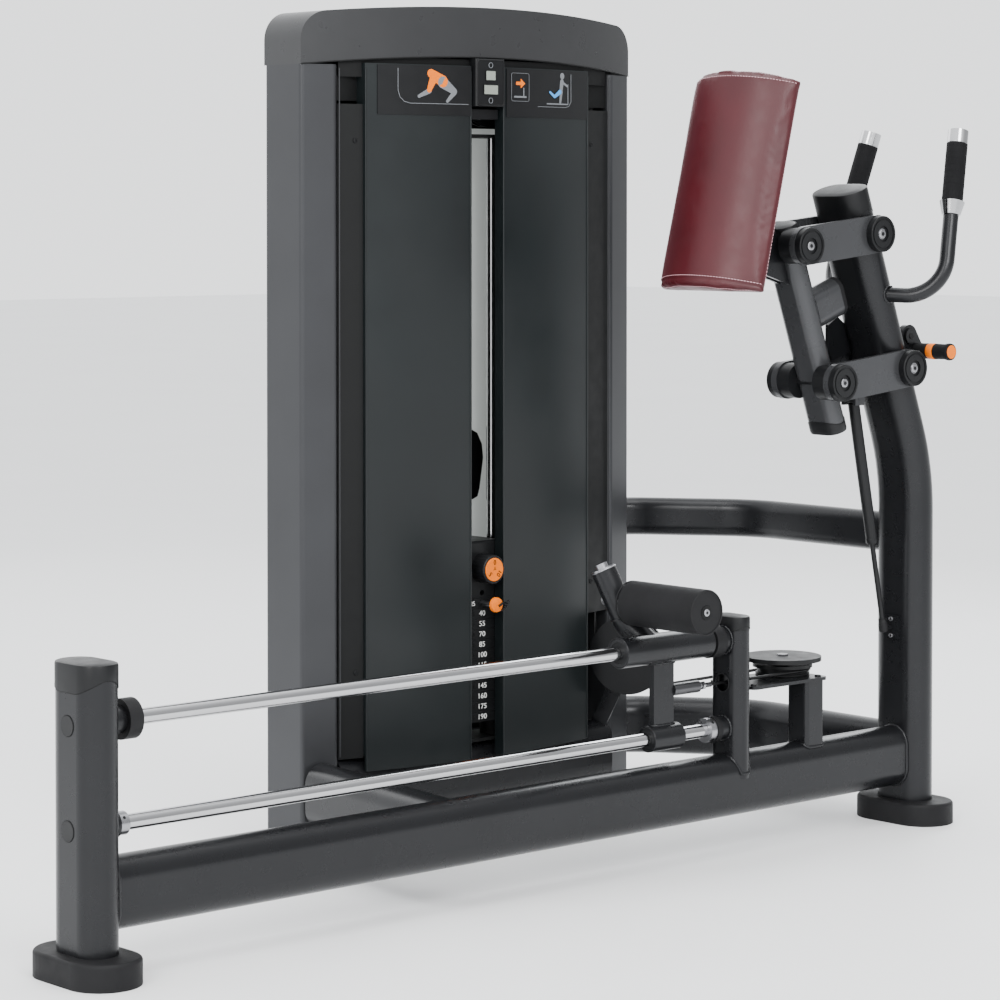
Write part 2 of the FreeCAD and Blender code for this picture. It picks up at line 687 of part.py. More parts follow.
def tower_frame():
    upright("left_upright", "tower_left")
    upright("right_upright", "tower_right - upright_wide")
    length = "tower_right - tower_left - 2 * upright_wide"
    at = ("tower_left + upright_wide", "431", "beam_low + tube_long / 2")
    keep("tower_base_tube", main_bar("YZ_Plane", length, at))
    rail_from, rail_to = "tower_left + 110", "tower_right - 50"
    lower = main_bar("YZ_Plane", f"{rail_to} - ({rail_from})",
                     (rail_from, str(REAR_RAIL_Y), "beam_low + tube_long / 2"))
    upper = small_bar("YZ_Plane", f"{rail_to} - ({rail_from})", (rail_from, str(REAR_RAIL_Y), str(BRACE_HIGH)))
    plug_at = f"{rail_from} - 5"
    keep("rail_plugs", group(
        main_bar("YZ_Plane", "5", (plug_at, str(REAR_RAIL_Y), "beam_low + tube_long / 2"), hollow=False),
        small_bar("YZ_Plane", "5", (plug_at, str(REAR_RAIL_Y), str(BRACE_HIGH)), hollow=False)))
    keep("lower_rear_rail", lower)
    keep("upper_rear_rail", upper)
    ties = []
    for start in ("tower_left + 115", "tower_right - 115"):
        ties.append(box("45", f"{REAR_RAIL_Y} - tube_short / 2 - tower_rear", "40",
                        (start, "tower_rear", "beam_low + tube_long / 2 - 20")))
        ties.append(box("45", f"{REAR_RAIL_Y} - small_short / 2 - tower_rear", "30",
                        (start, "tower_rear", f"{BRACE_HIGH} - 15")))
    keep("rear_rail_ties", group(*ties))
    feet = []
    for start in ("tower_left", "tower_right - upright_wide"):
        pad = box("upright_wide + 10", "120", "upright_low", (f"{start} - 5", "419", "0"))
        feet.append(round_edges(pad, 8, lambda edge: runs_along(edge, Vector(0, 0, 1))))
    rail_solid = main_bar("YZ_Plane", f"{rail_to} - ({rail_from})",
                          (rail_from, str(REAR_RAIL_Y), "beam_low + tube_long / 2"), hollow=False)
    for x in ("tower_left + 150", "tower_right - 100"):
        feet.append(cut(rod("28", "beam_low + 12", (x, str(REAR_RAIL_Y), "0")), rail_solid))
    keep("tower_feet", group(*feet))


def cap_block(inset, low):
    """The arched top cap's outside, or its inside when inset by its wall."""
    block = box(f"{SPAN} - 2 * {inset}", f"tower_rear - {FRONT_Y} - {inset}", f"tower_high - ({low})",
                (f"tower_left + {inset}", FRONT_Y, low))
    at = ("tower_centre", "0", f"tower_high - {inset} - {CROWN}")
    crown = rod(CROWN, "tower_rear + 50", at, "y")
    shape = common(block, bow(inset), crown)
    corner = 52 - inset
    return round_edges(shape, corner, lambda edge: runs_along(edge, Vector(0, 1, 0))
                       and edge.CenterOfMass.z > value("tower_high") - 60)


def top_cap():
    seam_at = ("tower_centre", "0", f"seam_high + seam_rise - {SEAM}")
    below = rod(SEAM, "tower_rear + 50", seam_at, "y")
    keep("top_cap", cut(cap_block(0, "seam_high"), cap_block(4, "seam_high - 10"), below))


def shroud(label, start, end, slot_edge, outer_edge, outer_y):
    high = "shroud_high - shroud_low"
    sheet = bow_panel(start, end, "shroud_low", "shroud_high", "0", "shroud_thick")
    slot_lip = box("shroud_thick", "20", high, (slot_edge, "364", "shroud_low"))
    outer_lip = box("shroud_thick", f"stack_y - 16 - {outer_y}", "shroud_high - 190", (outer_edge, outer_y, "190"))
    keep(label, fuse(sheet, slot_lip, outer_lip))


def covers():
    shroud("left_front_shroud", "left_shroud_from", "left_shroud_to",
           "left_shroud_to - shroud_thick", "left_shroud_from", "394")
    shroud("right_front_shroud", "right_shroud_from", "right_shroud_to",
           "right_shroud_from", "right_shroud_to - shroud_thick", "388")
    left_trim = bow_panel("tower_left + upright_wide", "left_shroud_from", "shroud_low + 25", "1366", "6", "2")
    right_trim = bow_panel("right_shroud_to", "tower_right - upright_wide", "400", "1366", "6", "2")
    keep("side_trims", group(left_trim, right_trim))
    width = "tower_right - tower_left - 2 * upright_wide"
    keep("rear_shroud", box(width, "shroud_thick", "1266", ("tower_left + upright_wide", "515", "184")))
    left_label = bow_panel("left_shroud_from + 24", "left_shroud_to - 2", "1348", "1438", "-1.6", "1.6")
    right_label = bow_panel("right_shroud_from + 8", "right_shroud_to - 4", "1348", "1438", "-1.6", "1.6")
    keep("label_panels", group(left_label, right_label))
    housing = box("71", "24", "88", ("left_shroud_to + 3", "352", "1366"))
    keep("display_housing", round_edges(housing, 4, lambda edge: edge.CenterOfMass.y < 353))
    keep("slot_guide", box("71", "28", "18", ("left_shroud_to + 3", "372", "1343")))


def pulley_rails():
    """Twin rails across the tower that carry the top pulleys and the guide rods' top plate."""
    start = "tower_left + upright_wide"
    length = "tower_right - tower_left - 2 * upright_wide"
    rails = [box(length, "5", "60", (start, y, "top_pulley_high - 13"))
             for y in ("stack_y - 16", "stack_y + 11")]
    axles = [rod("pulley_axle_radius", "32", (str(centre.x), "stack_y - 16", "top_pulley_high"), "y")
             for centre in (TOP_RIGHT, TOP_LEFT)]
    keep("pulley_rails", fuse(*rails, *axles))
    plate = box("210", "66", "6", ("stack_x - 94", "stack_y - 33", "1310"))
    straps = [box("6", "32", "top_pulley_high - 13 - 1316", (x, "stack_y - 16", "1316"))
              for x in ("stack_x - 94", "stack_x + 110")]
    keep("guide_top_plate", cut(fuse(plate, *straps), rod("9", "20", ("stack_x", "stack_y", "1300"))))


# ---------------------------------------------------------------- weight stack

FIXED_PLATES = 11
LIFTED_LOW = f"stack_low + {FIXED_PLATES} * plate_pitch"


def plate_holes(stem_radius):
    low, high = "stack_low - 10", "400"
    side = "guide_spacing / 2"
    return fuse(
        rod("guide_hole_radius", high, (f"stack_x - {side}", "stack_y", low)),
        rod("guide_hole_radius", high, (f"stack_x + {side}", "stack_y", low)),
        rod(stem_radius, high, ("stack_x", "stack_y", low)))


def pin_hole(low):
    middle = f"{low} + (plate_pitch - plate_gap) / 2"
    return rod("pin_hole_radius", "plate_deep / 2 + 12", ("stack_x", "stack_y - plate_deep / 2 - 1", middle), "y")


def weight_plate(low, holes):
    block = box("plate_wide", "plate_deep", "plate_pitch - plate_gap",
                ("stack_x - plate_wide / 2", "stack_y - plate_deep / 2", low))
    return cut(block, holes, pin_hole(low))


def weight_stack():
    loose = plate_holes("stem_hole_radius")
    fixed = [weight_plate(f"stack_low + {number} * plate_pitch", loose) for number in range(FIXED_PLATES)]
    keep("weight_plates", group(*fixed))
    tight = plate_holes("stem_radius + 0.3")
    keep("first_plate", weight_plate(LIFTED_LOW, tight))
    head_low = f"stack_low + {FIXED_PLATES + 1} * plate_pitch"
    keep("head_plate", weight_plate(head_low, tight))
    stem = rod("stem_radius", "head_high - stack_low - 6", ("stack_x", "stack_y", "stack_low + 2"))
    pins = [rod("pin_hole_radius", "30", ("stack_x", "stack_y - 15", f"stack_low + {number} * plate_pitch"
                                          " + (plate_pitch - plate_gap) / 2"), "y")
            for number in range(FIXED_PLATES + 2)]
    keep("selector_stem", cut(stem, *pins))
    housing_low = f"{head_low} + plate_pitch - plate_gap"
    housing = box("104", "plate_deep", f"head_high - ({housing_low})",
                  ("stack_x - 52", "stack_y - plate_deep / 2", housing_low))
    housing = round_edges(housing, 5, lambda edge: edge.CenterOfMass.z > value("head_high") - 1)
    stem_hole = rod("stem_radius + 0.3", "200", ("stack_x", "stack_y", "head_high - 150"))
    dial_hole = rod("6.4", "20", ("stack_x", "stack_y - plate_deep / 2 - 1", "dial_high"), "y")
    keep("addon_housing", cut(housing, stem_hole, dial_hole))


def stack_controls():
    front = "stack_y - plate_deep / 2"
    dial = rod("27", f"{front} - 352.5", ("stack_x", "352", "dial_high"), "y")
    spindle = rod("6", "18", ("stack_x", f"{front} - 4", "dial_high"), "y")
    keep("addon_dial", fuse(dial, spindle))
    keep("dial_face", rod("21", "2", ("stack_x", "350", "dial_high"), "y"))
    middle = f"{LIFTED_LOW} + (plate_pitch - plate_gap) / 2"
    head = rod("14", "8", ("stack_x", "pin_face_y - 3", middle), "y")
    shaft = rod("pin_radius", "stack_y + 8 - pin_face_y", ("stack_x", "pin_face_y", middle), "y")
    keep("selector_pin", fuse(head, shaft))


def stack_guides():
    sides = ("stack_x - guide_spacing / 2", "stack_x + guide_spacing / 2")
    keep("stack_guide_rods", group(*[
        rod("guide_radius", "1310 - 190", (x, "stack_y", "190")) for x in sides]))
    keep("stack_cushions", group(*[
        tube("22", "guide_radius + 0.3", "stack_low - 0.5 - 190", (x, "stack_y", "190")) for x in sides]))
    keep("stack_base", box("190", "80", "6", ("stack_x - 95", "stack_y - 40", "184")))


tower_frame()
top_cap()
covers()
pulley_rails()
weight_stack()
stack_controls()
stack_guides()


# ---------------------------------------------------------------- chest pad arm

P_LOWER_REAR = Vector(value("lower_pivot_x"), 0, value("lower_pivot_z"))
P_UPPER_REAR = P_LOWER_REAR + Vector(value("pivot_run"), 0, value("pivot_rise"))
LINK = Vector(value("link_run"), 0, value("link_rise"))
P_LOWER_FRONT = P_LOWER_REAR - LINK
P_UPPER_FRONT = P_UPPER_REAR - LINK
BACK = Vector(0, 1, 0)


def arm_line(height):
    """The pad arm's centreline at a height."""
    x = P_LOWER_FRONT.x + value("arm_offset") - (height - P_LOWER_FRONT.z) * math.tan(lean_angle)
    return Vector(x, 0, height)


def across_bar(centre, radius, half):
    return Part.makeCylinder(radius, 2 * half, centre - BACK * half, BACK)


def drill_column():
    """Bore the column for the two rear pivot pins, now that their places are known."""
    column = nodes["right_column"]
    bores = [across_bar(pivot, value("pivot_pin_radius") + 0.2, 70) for pivot in (P_LOWER_REAR, P_UPPER_REAR)]
    column.Shape = column.Shape.cut(bores)


def pins_and_bosses(label, pivots, around, boss_radius, boss_start):
    """Bosses either side of a post, with a pin and two caps at each pivot."""
    long = value("link_inner") - 0.3 - boss_start
    bosses = []
    for pivot in pivots:
        for side in (-1, 1):
            start = pivot + BACK * (side * boss_start)
            bosses.append(Part.makeCylinder(boss_radius, long, start, BACK * side))
    bores = [across_bar(pivot, value("pivot_pin_radius") + 0.2, 90) for pivot in pivots]
    shape = Part.makeCompound(bosses).cut(Part.makeCompound([around] + bores))
    feature(f"{label}_bosses", shape)
    outer = value("link_inner") + value("link_thick") + 0.3
    reach = outer + value("cap_thick") - 3
    feature(f"{label}_pins", Part.makeCompound([
        across_bar(pivot, value("pivot_pin_radius"), reach) for pivot in pivots]))
    caps = []
    for pivot in pivots:
        for side in (-1, 1):
            start = pivot + BACK * (side * outer)
            disc = Part.makeCylinder(value("cap_radius"), value("cap_thick"), start, BACK * side)
            face = start + BACK * (side * (value("cap_thick") - 3))
            recess = Part.makeCylinder(15, 4, face, BACK * side)
            groove = Part.makeCylinder(29, 1.5, face + BACK * (side * 1.6), BACK * side).cut(
                Part.makeCylinder(26, 4, face, BACK * side))
            bore = across_bar(pivot, value("pivot_pin_radius") + 0.2, 90)
            caps.append(disc.cut([recess, groove, bore]))
    feature(f"{label}_caps", Part.makeCompound(caps))


def links(label, first, second):
    """The near and far link plates between two pivots."""
    middle = (first + second) / 2
    tilt = math.degrees(math.atan2(LINK.x, LINK.z))
    turn = Rotation(BACK, tilt)
    plates = []
    for start in (-value("link_inner"), value("link_inner") + value("link_thick")):
        at = Vector(middle.x, start, middle.z)
        plates.append(slot_bar("XZ_Plane", f"{LINK.Length}", "link_radius", "link_thick", at, None, turn))
    bores = [rod("pivot_bore", "200", Vector(pivot.x, -100, pivot.z), "y") for pivot in (first, second)]
    keep(label, cut(group(*plates), *bores))


def pad_arm():
    foot = arm_line(value("arm_bottom"))
    length = (value("arm_top") - value("arm_bottom")) / math.cos(lean_angle)
    solid = small_bar("XY_Plane", str(length + 16), foot - LEAN_UP * 8, hollow=False, turn=LEANING)
    tube_body = small_bar("XY_Plane", str(length), foot, turn=LEANING)
    doc.recompute()
    bores = [across_bar(pivot, value("pivot_pin_radius") + 0.2, 70) for pivot in (P_LOWER_FRONT, P_UPPER_FRONT)]
    feature("pad_arm_tube", tube_body.Shape.cut(bores))
    top = foot + LEAN_UP * length
    caps = [small_bar("XY_Plane", "8", at, hollow=False, turn=LEANING) for at in (foot - LEAN_UP * 8, top)]
    keep("pad_arm_caps", group(*caps))
    level = arm_line(978)
    turn = Rotation(BACK, LEAN_UP, LEAN_OUT, "ZYX")
    stub = small_bar("XY_Plane", "97", level, turn=turn)
    stop = small_bar("XY_Plane", "9", level + LEAN_OUT * 97, hollow=False, turn=turn)
    keep("stop_stub", cut(stub, solid))
    keep("stop_buffer", stop)
    pins_and_bosses("arm", (P_LOWER_FRONT, P_UPPER_FRONT), solid.Shape, 33, 30)


def column_pivots():
    outer, _ = column_shapes()
    drill_column()
    pins_and_bosses("column", (P_LOWER_REAR, P_UPPER_REAR), outer, 30, 40)


pad_angle = math.radians(value("pad_lean"))
PAD_UP = Vector(math.sin(pad_angle), 0, math.cos(pad_angle))
PAD_BACK = Vector(math.cos(pad_angle), 0, -math.sin(pad_angle))
PAD_FOOT = Vector(value("pad_foot_x"), 0, value("pad_foot_z"))
PAD_TURN = Rotation(BACK, value("pad_lean"))


def chest_pad():
    """A pad with a crowned front, on a board, on a bracket that meets the arm."""
    crown = "(pad_half_wide ^ 2 + pad_deep ^ 2) / (2 * pad_deep)"
    crown_radius = (value("pad_half_wide") ** 2 + value("pad_deep") ** 2) / (2 * value("pad_deep"))
    block = box("pad_deep", "2 * pad_half_wide", "pad_long",
                PAD_FOOT - PAD_BACK * value("pad_deep") - BACK * value("pad_half_wide"), PAD_TURN)
    curve = rod(crown, "pad_long", PAD_FOOT + PAD_BACK * (crown_radius - value("pad_deep")), PAD_TURN)
    keep("chest_pad", common(block, curve))
    board = box("board_thick", "200", "340", PAD_FOOT + PAD_UP * 29 - BACK * 100, PAD_TURN)
    keep("pad_board", round_edges(board, 4, lambda edge: abs(edge.tangentAt(0).y) < 0.01
                                  and abs(edge.CenterOfMass.y) > 99))
    rear = value("board_thick")
    def on_board(along, behind):
        return PAD_FOOT + PAD_UP * along + PAD_BACK * behind
    plate = Part.makeBox(6, 110, 190)
    plate.Placement = FreeCAD.Placement(on_board(50, rear) - BACK * 55, PAD_TURN)
    front = LEAN_OUT * (-value("small_short") / 2)
    outline = [on_board(60, rear + 6), on_board(230, rear + 6), arm_line(1132) + front, arm_line(1045) + front]
    gussets = []
    for y in (-14, 8):
        shifted = [point + BACK * y for point in outline]
        gussets.append(Part.Face(Part.makePolygon(shifted + shifted[:1])).extrude(BACK * 6))
    clearance = across_bar(P_UPPER_FRONT, value("pivot_pin_radius") + 0.2, 90)
    feature("pad_bracket", plate.fuse(gussets).cut(clearance))


# ---------------------------------------------------------------- gas spring, lever and handles

SPRING_TOP = Vector(value("spring_top_x"), 0, value("spring_top_z"))
SPRING_FOOT = Vector(value("spring_foot_x"), 0, value("spring_foot_z"))
SPRING_AXIS = Vector(SPRING_TOP - SPRING_FOOT).normalize()
SPRING_LONG = (SPRING_TOP - SPRING_FOOT).Length


def gas_spring():
    body_low = SPRING_FOOT + SPRING_AXIS * (SPRING_LONG - 9 - value("spring_body_long"))
    body = Part.makeCylinder(value("spring_body_radius"), value("spring_body_long"), body_low, SPRING_AXIS)
    bore = Part.makeCylinder(value("spring_rod_radius") + 0.4, value("spring_body_long") - 20,
                             body_low - SPRING_AXIS, SPRING_AXIS)
    eye = across_bar(SPRING_TOP, 11, 8)
    feature("gas_spring_body", body.cut(bore).fuse(eye).cut(across_bar(SPRING_TOP, 5, 20)))
    rod_low = SPRING_FOOT + SPRING_AXIS * 6
    shaft = Part.makeCylinder(value("spring_rod_radius"), 274, rod_low, SPRING_AXIS)
    socket = Part.makeCylinder(8, 24, SPRING_FOOT - SPRING_AXIS * 6, SPRING_AXIS)
    feature("gas_spring_rod", shaft.fuse(socket).cut(Part.makeSphere(6.4, SPRING_FOOT)).cut(
        Part.makeCylinder(4.5, 40, SPRING_FOOT, Vector(1, 0, 0))))
    face = value("rod_span") - value("tube_short") / 2
    ball = Part.makeSphere(6, SPRING_FOOT)
    neck = Part.makeCylinder(3.5, face - 6 - SPRING_FOOT.x, SPRING_FOOT, Vector(1, 0, 0))
    plate = Part.makeBox(6, 32, 44, Vector(face - 6, -16, SPRING_FOOT.z - 22))
    feature("spring_foot_bracket", ball.fuse([neck, plate]))
    clevis = []
    for y in (-18, 12):
        clevis.append(Part.makeBox(26, 6, 50, SPRING_TOP + Vector(-13, y, -12)))
    cross = across_bar(SPRING_TOP + Vector(0, 0, 30), 11, value("link_inner") - 0.05)
    studs = [Part.makeCylinder(4, 9, SPRING_TOP + BACK * (side * 9.5), BACK * side) for side in (-1, 1)]
    feature("spring_clevis", cross.fuse(clevis + studs))


def release_lever():
    pivot = Vector(value("lever_x"), 0, value("lever_z"))
    grip = Vector(value("grip_x"), 0, value("grip_z"))
    arm = grip - pivot
    turn = Rotation(BACK, math.degrees(math.atan2(arm.x, arm.z)))
    middle = (pivot + grip) / 2 - BACK * 20
    plate = slot_bar("XZ_Plane", str(arm.Length), "22", "12", middle, None, turn)
    keep("release_lever", cut(plate, rod("6.3", "40", pivot - BACK * 40, "y")))
    start, size = -32, "lever_grip_radius"
    keep("lever_grip", group(
        rod(size, "36", grip + BACK * start, Rotation(Vector(1, 0, 0), 90)),
        rod(size, "36", grip + BACK * (start - 52), Rotation(Vector(1, 0, 0), 90))))
    keep("lever_rings", group(
        rod(size, "16", grip + BACK * (start - 36), Rotation(Vector(1, 0, 0), 90)),
        rod("13", "5", grip + BACK * (start - 88), Rotation(Vector(1, 0, 0), 90))))
    outer, _ = column_shapes()
    lug = Part.makeBox(62, 12, 28, Vector(pivot.x - 48, -19, pivot.z - 14))
    pin = Part.makeCylinder(6, 31, pivot - BACK * 37, BACK)
    head = Part.makeCylinder(15, 4, pivot - BACK * 37, BACK)
    feature("lever_bracket", lug.fuse([pin, head]).cut(outer))


def lock_plate():
    """The side plate in front of the column, beside the arm's stop."""
    outer, _ = column_shapes()
    outline = [Vector(x, 42, z) for x, z in (
        (1724, 906), (1724, 957), (1750, 972), (1775, 955), (1800, 955), (1790, 905), (1738, 890))]
    plate = Part.Face(Part.makePolygon(outline + outline[:1])).extrude(BACK * 8)
    feature("lock_plate", plate.cut(outer))


def handles():
    outer, _ = column_shapes()
    tubes, grips, bright = {}, [], []
    for name, side in (("near", -1), ("far", 1)):
        start = Vector(1783, side * 40, 1016)
        corner = Vector(1834, side * 149, 1012)
        foam_low = Vector(1884, side * 126, 1190)
        foam_top = Vector(1922, side * 109, 1325)
        axis = Vector(foam_top - foam_low).normalize()
        corner = foam_low - axis * ((foam_low.z - corner.z) / axis.z)
        shape = round_tube([start, corner, foam_top - axis * 12], [72], value("handle_radius"))
        core = round_tube([start, corner, foam_top - axis * 12], [72], value("handle_radius") - 2.5)
        feature(f"{name}_handle", shape.cut(core).cut(outer))
        bore = Part.makeCylinder(value("handle_radius") + 0.2, 400, foam_low - axis * 60, axis)
        grips.append(Part.makeCylinder(value("grip_radius"), 116, foam_low, axis).cut(bore))
        flare = Part.makeCone(value("handle_radius") + 3, value("grip_radius") + 4, 26, foam_low - axis * 26, axis)
        cap_low = foam_low + axis * 116
        cap = Part.makeCylinder(value("grip_radius") - 0.5, foam_top.sub(cap_low).dot(axis), cap_low, axis)
        room = Part.makeCylinder(value("handle_radius") + 0.2, 300, foam_top - axis * 312, axis)
        bright.append(flare.cut(room))
        bright.append(cap.cut(room))
    feature("handle_grips", Part.makeCompound(grips))
    feature("handle_bright_caps", Part.makeCompound(bright))


doc.recompute()
pad_arm()
column_pivots()
links("lower_links", P_LOWER_FRONT, P_LOWER_REAR)
links("upper_links", P_UPPER_FRONT, P_UPPER_REAR)
chest_pad()
gas_spring()
release_lever()
lock_plate()
handles()

# ---------------------------------------------------------------- pieces that share a node

SHARED = {
    "tube_caps": ["left_post_cap", "column_cap", "bracket_cap", "post_plugs", "column_caps", "rail_plugs"],
    "rubber_feet": ["left_foot", "right_foot", "tower_feet"],
    "guide_rods": ["upper_guide_rod", "lower_guide_rod", "stack_guide_rods"],
    "welded_bosses": ["rod_bosses", "column_bosses"],
    "rubber_bumpers": ["rod_bumpers", "stack_cushions"],
    "pivot_bolts": ["pulley_bolt", "column_pins"],
    "pulley_stand": ["pulley_post", "pulley_plate"],
    "tower_base_frame": ["left_base_tube", "tower_base_tube", "lower_rear_rail", "upper_rear_rail",
                         "rear_rail_ties"],
    "tower_uprights": ["left_upright", "right_upright"],
    "tower_inner_frame": ["pulley_rails", "guide_top_plate", "stack_base"],
    "back_and_side_trims": ["rear_shroud", "side_trims"],
    "display_frame": ["display_housing", "slot_guide"],
    "handle_tubes": ["near_handle", "far_handle"],
    "column_brackets": ["spring_foot_bracket", "lever_bracket", "lock_plate"],
    "carriage_frame": ["upper_sleeve", "lower_sleeve", "carriage_bar"],
    "cable_terminal": ["cable_swage", "cable_stud"],
    "roller_shaft": ["roller_axle", "arm_end_nut"],
    "lifted_plates": ["first_plate", "head_plate"],
    "selector_dial": ["addon_dial", "dial_face"],
    "front_upright": ["pad_arm_tube", "stop_stub"],
    "front_upright_caps": ["pad_arm_caps", "stop_buffer"],
    "front_pivots": ["arm_pins", "arm_caps", "arm_bosses"],
    "lower_link_pair": ["lower_links", "spring_clevis"],
    "lever_grip_set": ["lever_grip", "lever_rings"],
}
for label, members in SHARED.items():
    keep(label, group(*[nodes.pop(member) for member in members]))

# ---------------------------------------------------------------- check and write

doc.recompute()
for item in doc.Objects:
    if {"Invalid", "Error"} & set(item.State):
        raise RuntimeError(f"{item.Name} ({item.Label}) failed: {item.State}")
for label, item in nodes.items():
    if item.Shape.isNull() or not item.Shape.isValid():
        raise RuntimeError(f"{label} has no valid shape")
for label, item in nodes.items():
    item.Shape.exportStep(f"parts/{label}.step")
print(len(nodes), "nodes written")
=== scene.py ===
"""Standing glute press: studio scene with finished surfaces and fine detail."""
import math
import bpy
from mathutils import Matrix, Vector
from mathutils.bvhtree import BVHTree


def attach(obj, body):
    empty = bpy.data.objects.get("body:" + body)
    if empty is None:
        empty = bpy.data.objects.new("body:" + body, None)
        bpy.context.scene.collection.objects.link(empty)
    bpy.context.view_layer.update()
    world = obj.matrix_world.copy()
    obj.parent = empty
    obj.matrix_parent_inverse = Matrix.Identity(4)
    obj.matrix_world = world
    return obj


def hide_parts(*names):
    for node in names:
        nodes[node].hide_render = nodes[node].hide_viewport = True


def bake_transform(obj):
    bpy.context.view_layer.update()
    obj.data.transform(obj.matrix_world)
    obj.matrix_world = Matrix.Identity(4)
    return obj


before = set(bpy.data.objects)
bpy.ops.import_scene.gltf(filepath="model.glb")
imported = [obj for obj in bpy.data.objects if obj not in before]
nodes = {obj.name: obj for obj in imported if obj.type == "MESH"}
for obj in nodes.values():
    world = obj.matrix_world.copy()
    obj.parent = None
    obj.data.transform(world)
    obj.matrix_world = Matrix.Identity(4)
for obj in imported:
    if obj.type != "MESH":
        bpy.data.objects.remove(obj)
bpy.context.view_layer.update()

X = Vector((1, 0, 0))
Y = Vector((0, 1, 0))
Z = Vector((0, 0, 1))

# Places and sizes of the CAD, in metres, that the finer pieces are laid on.
LEAN = math.radians(19.8)               # lean of the column's head and of the front upright
LEAN_UP = Vector((-math.sin(LEAN), 0, math.cos(LEAN)))
LEAN_OUT = Vector((math.cos(LEAN), 0, math.sin(LEAN)))
POST_TUBE = (0.115, 0.070)              # long and short side of the posts and the beam
BAR_TUBE = (0.076, 0.044)               # long and short side of the rod bracket and the front upright
UPPER_ROD, LOWER_ROD = 0.3925, 0.2316   # heights of the guide rods
CABLE_HIGH = 0.314                      # height of the cable along the beam
BEAM_ROUND, BEAM_FLAT = 0.035, 0.149    # radius of the beam's top, and where its round begins
BRACKET_X = 1.416                       # middle of the rod bracket
ROLLER_X, ROLLER_HIGH = 1.175, 0.477    # axis of the foot roller
TOWER_X = 1.1615                        # middle of the tower
BOW_CENTRE, BOW_RADIUS = 1.652, 1.291   # centre and radius of the tower's bowed front
STACK_X = 1.150                         # middle of the weight stack


# ---------------------------------------------------------------- camera, floor and light

def link(name, data):
    obj = bpy.data.objects.new(name, data)
    bpy.context.scene.collection.objects.link(obj)
    return obj


CAMERA_PLACE = (-2.7223, -3.9757, 1.1799)
CAMERA_HEADING, CAMERA_DIP = math.radians(48.073), math.radians(1.5115)
LENS, SHIFT_Y = 113.1, -0.2096


def make_camera():
    """The photo's camera, solved from the long edges of the beam, the rods and the tower."""
    data = bpy.data.cameras.new("camera")
    data.sensor_width = 36
    data.lens = LENS
    data.shift_y = SHIFT_Y
    camera = link("camera", data)
    level = math.cos(CAMERA_DIP)
    look = Vector((math.cos(CAMERA_HEADING) * level, math.sin(CAMERA_HEADING) * level,
                   -math.sin(CAMERA_DIP)))
    camera.location = CAMERA_PLACE
    camera.rotation_euler = look.to_track_quat("-Z", "Y").to_euler()
    bpy.context.scene.camera = camera


def area_light(name, place, target, size, power, tint=(1, 1, 1)):
    data = bpy.data.lights.new(name, "AREA")
    data.shape = "RECTANGLE"
    data.size, data.size_y = size
    data.energy = power
    data.color = tint
    lamp = link(name, data)
    lamp.location = place
    lamp.rotation_euler = (Vector(target) - Vector(place)).to_track_quat("-Z", "Y").to_euler()


BRIGHT_SKY, DIM_SKY = 2.0, 0.7
DIM_SIDE = (0.83, -0.55, 0.0)           # the sky is dimmer in this direction, right of the machine


def make_studio():
    """A pale sky, dimmer on one side, and five soft lamps."""
    world = bpy.data.worlds.new("studio")
    bpy.context.scene.world = world
    world.use_nodes = True
    background = world.node_tree.nodes["Background"]
    background.inputs["Color"].default_value = (0.97, 0.985, 1.0, 1)
    nodes_of_sky, join = world.node_tree.nodes, world.node_tree.links.new
    heading = nodes_of_sky.new("ShaderNodeTexCoord")
    across = nodes_of_sky.new("ShaderNodeVectorMath")
    across.operation = "DOT_PRODUCT"
    across.inputs[1].default_value = DIM_SIDE
    join(heading.outputs["Generated"], across.inputs[0])
    shade = nodes_of_sky.new("ShaderNodeMapRange")
    shade.interpolation_type = "SMOOTHSTEP"
    for key, number in (("From Min", 0.35), ("From Max", 0.95),
                        ("To Min", BRIGHT_SKY), ("To Max", DIM_SKY)):
        shade.inputs[key].default_value = number
    join(across.outputs["Value"], shade.inputs["Value"])
    join(shade.outputs["Result"], background.inputs["Strength"])
    middle = (1.0, 0.2, 0.7)
    area_light("key", (-4.4, -2.2, 3.4), middle, (2.0, 2.6), 165, (1, 0.99, 0.97))
    area_light("front", (-0.2, -4.4, 3.6), (1.1, 0.2, 1.2), (2.4, 1.8), 165)
    area_light("side", (4.2, 1.6, 2.8), middle, (1.4, 2.6), 60, (0.95, 0.98, 1))
    area_light("top", (0.9, 0.0, 4.4), middle, (3.2, 2.2), 90)
    area_light("rear", (1.2, 4.6, 2.4), middle, (3.0, 2.0), 35)


make_camera()
make_studio()


# ---------------------------------------------------------------- materials

def tone(colour, factor):
    return tuple(min(1.0, channel * factor) for channel in colour) + (1,)


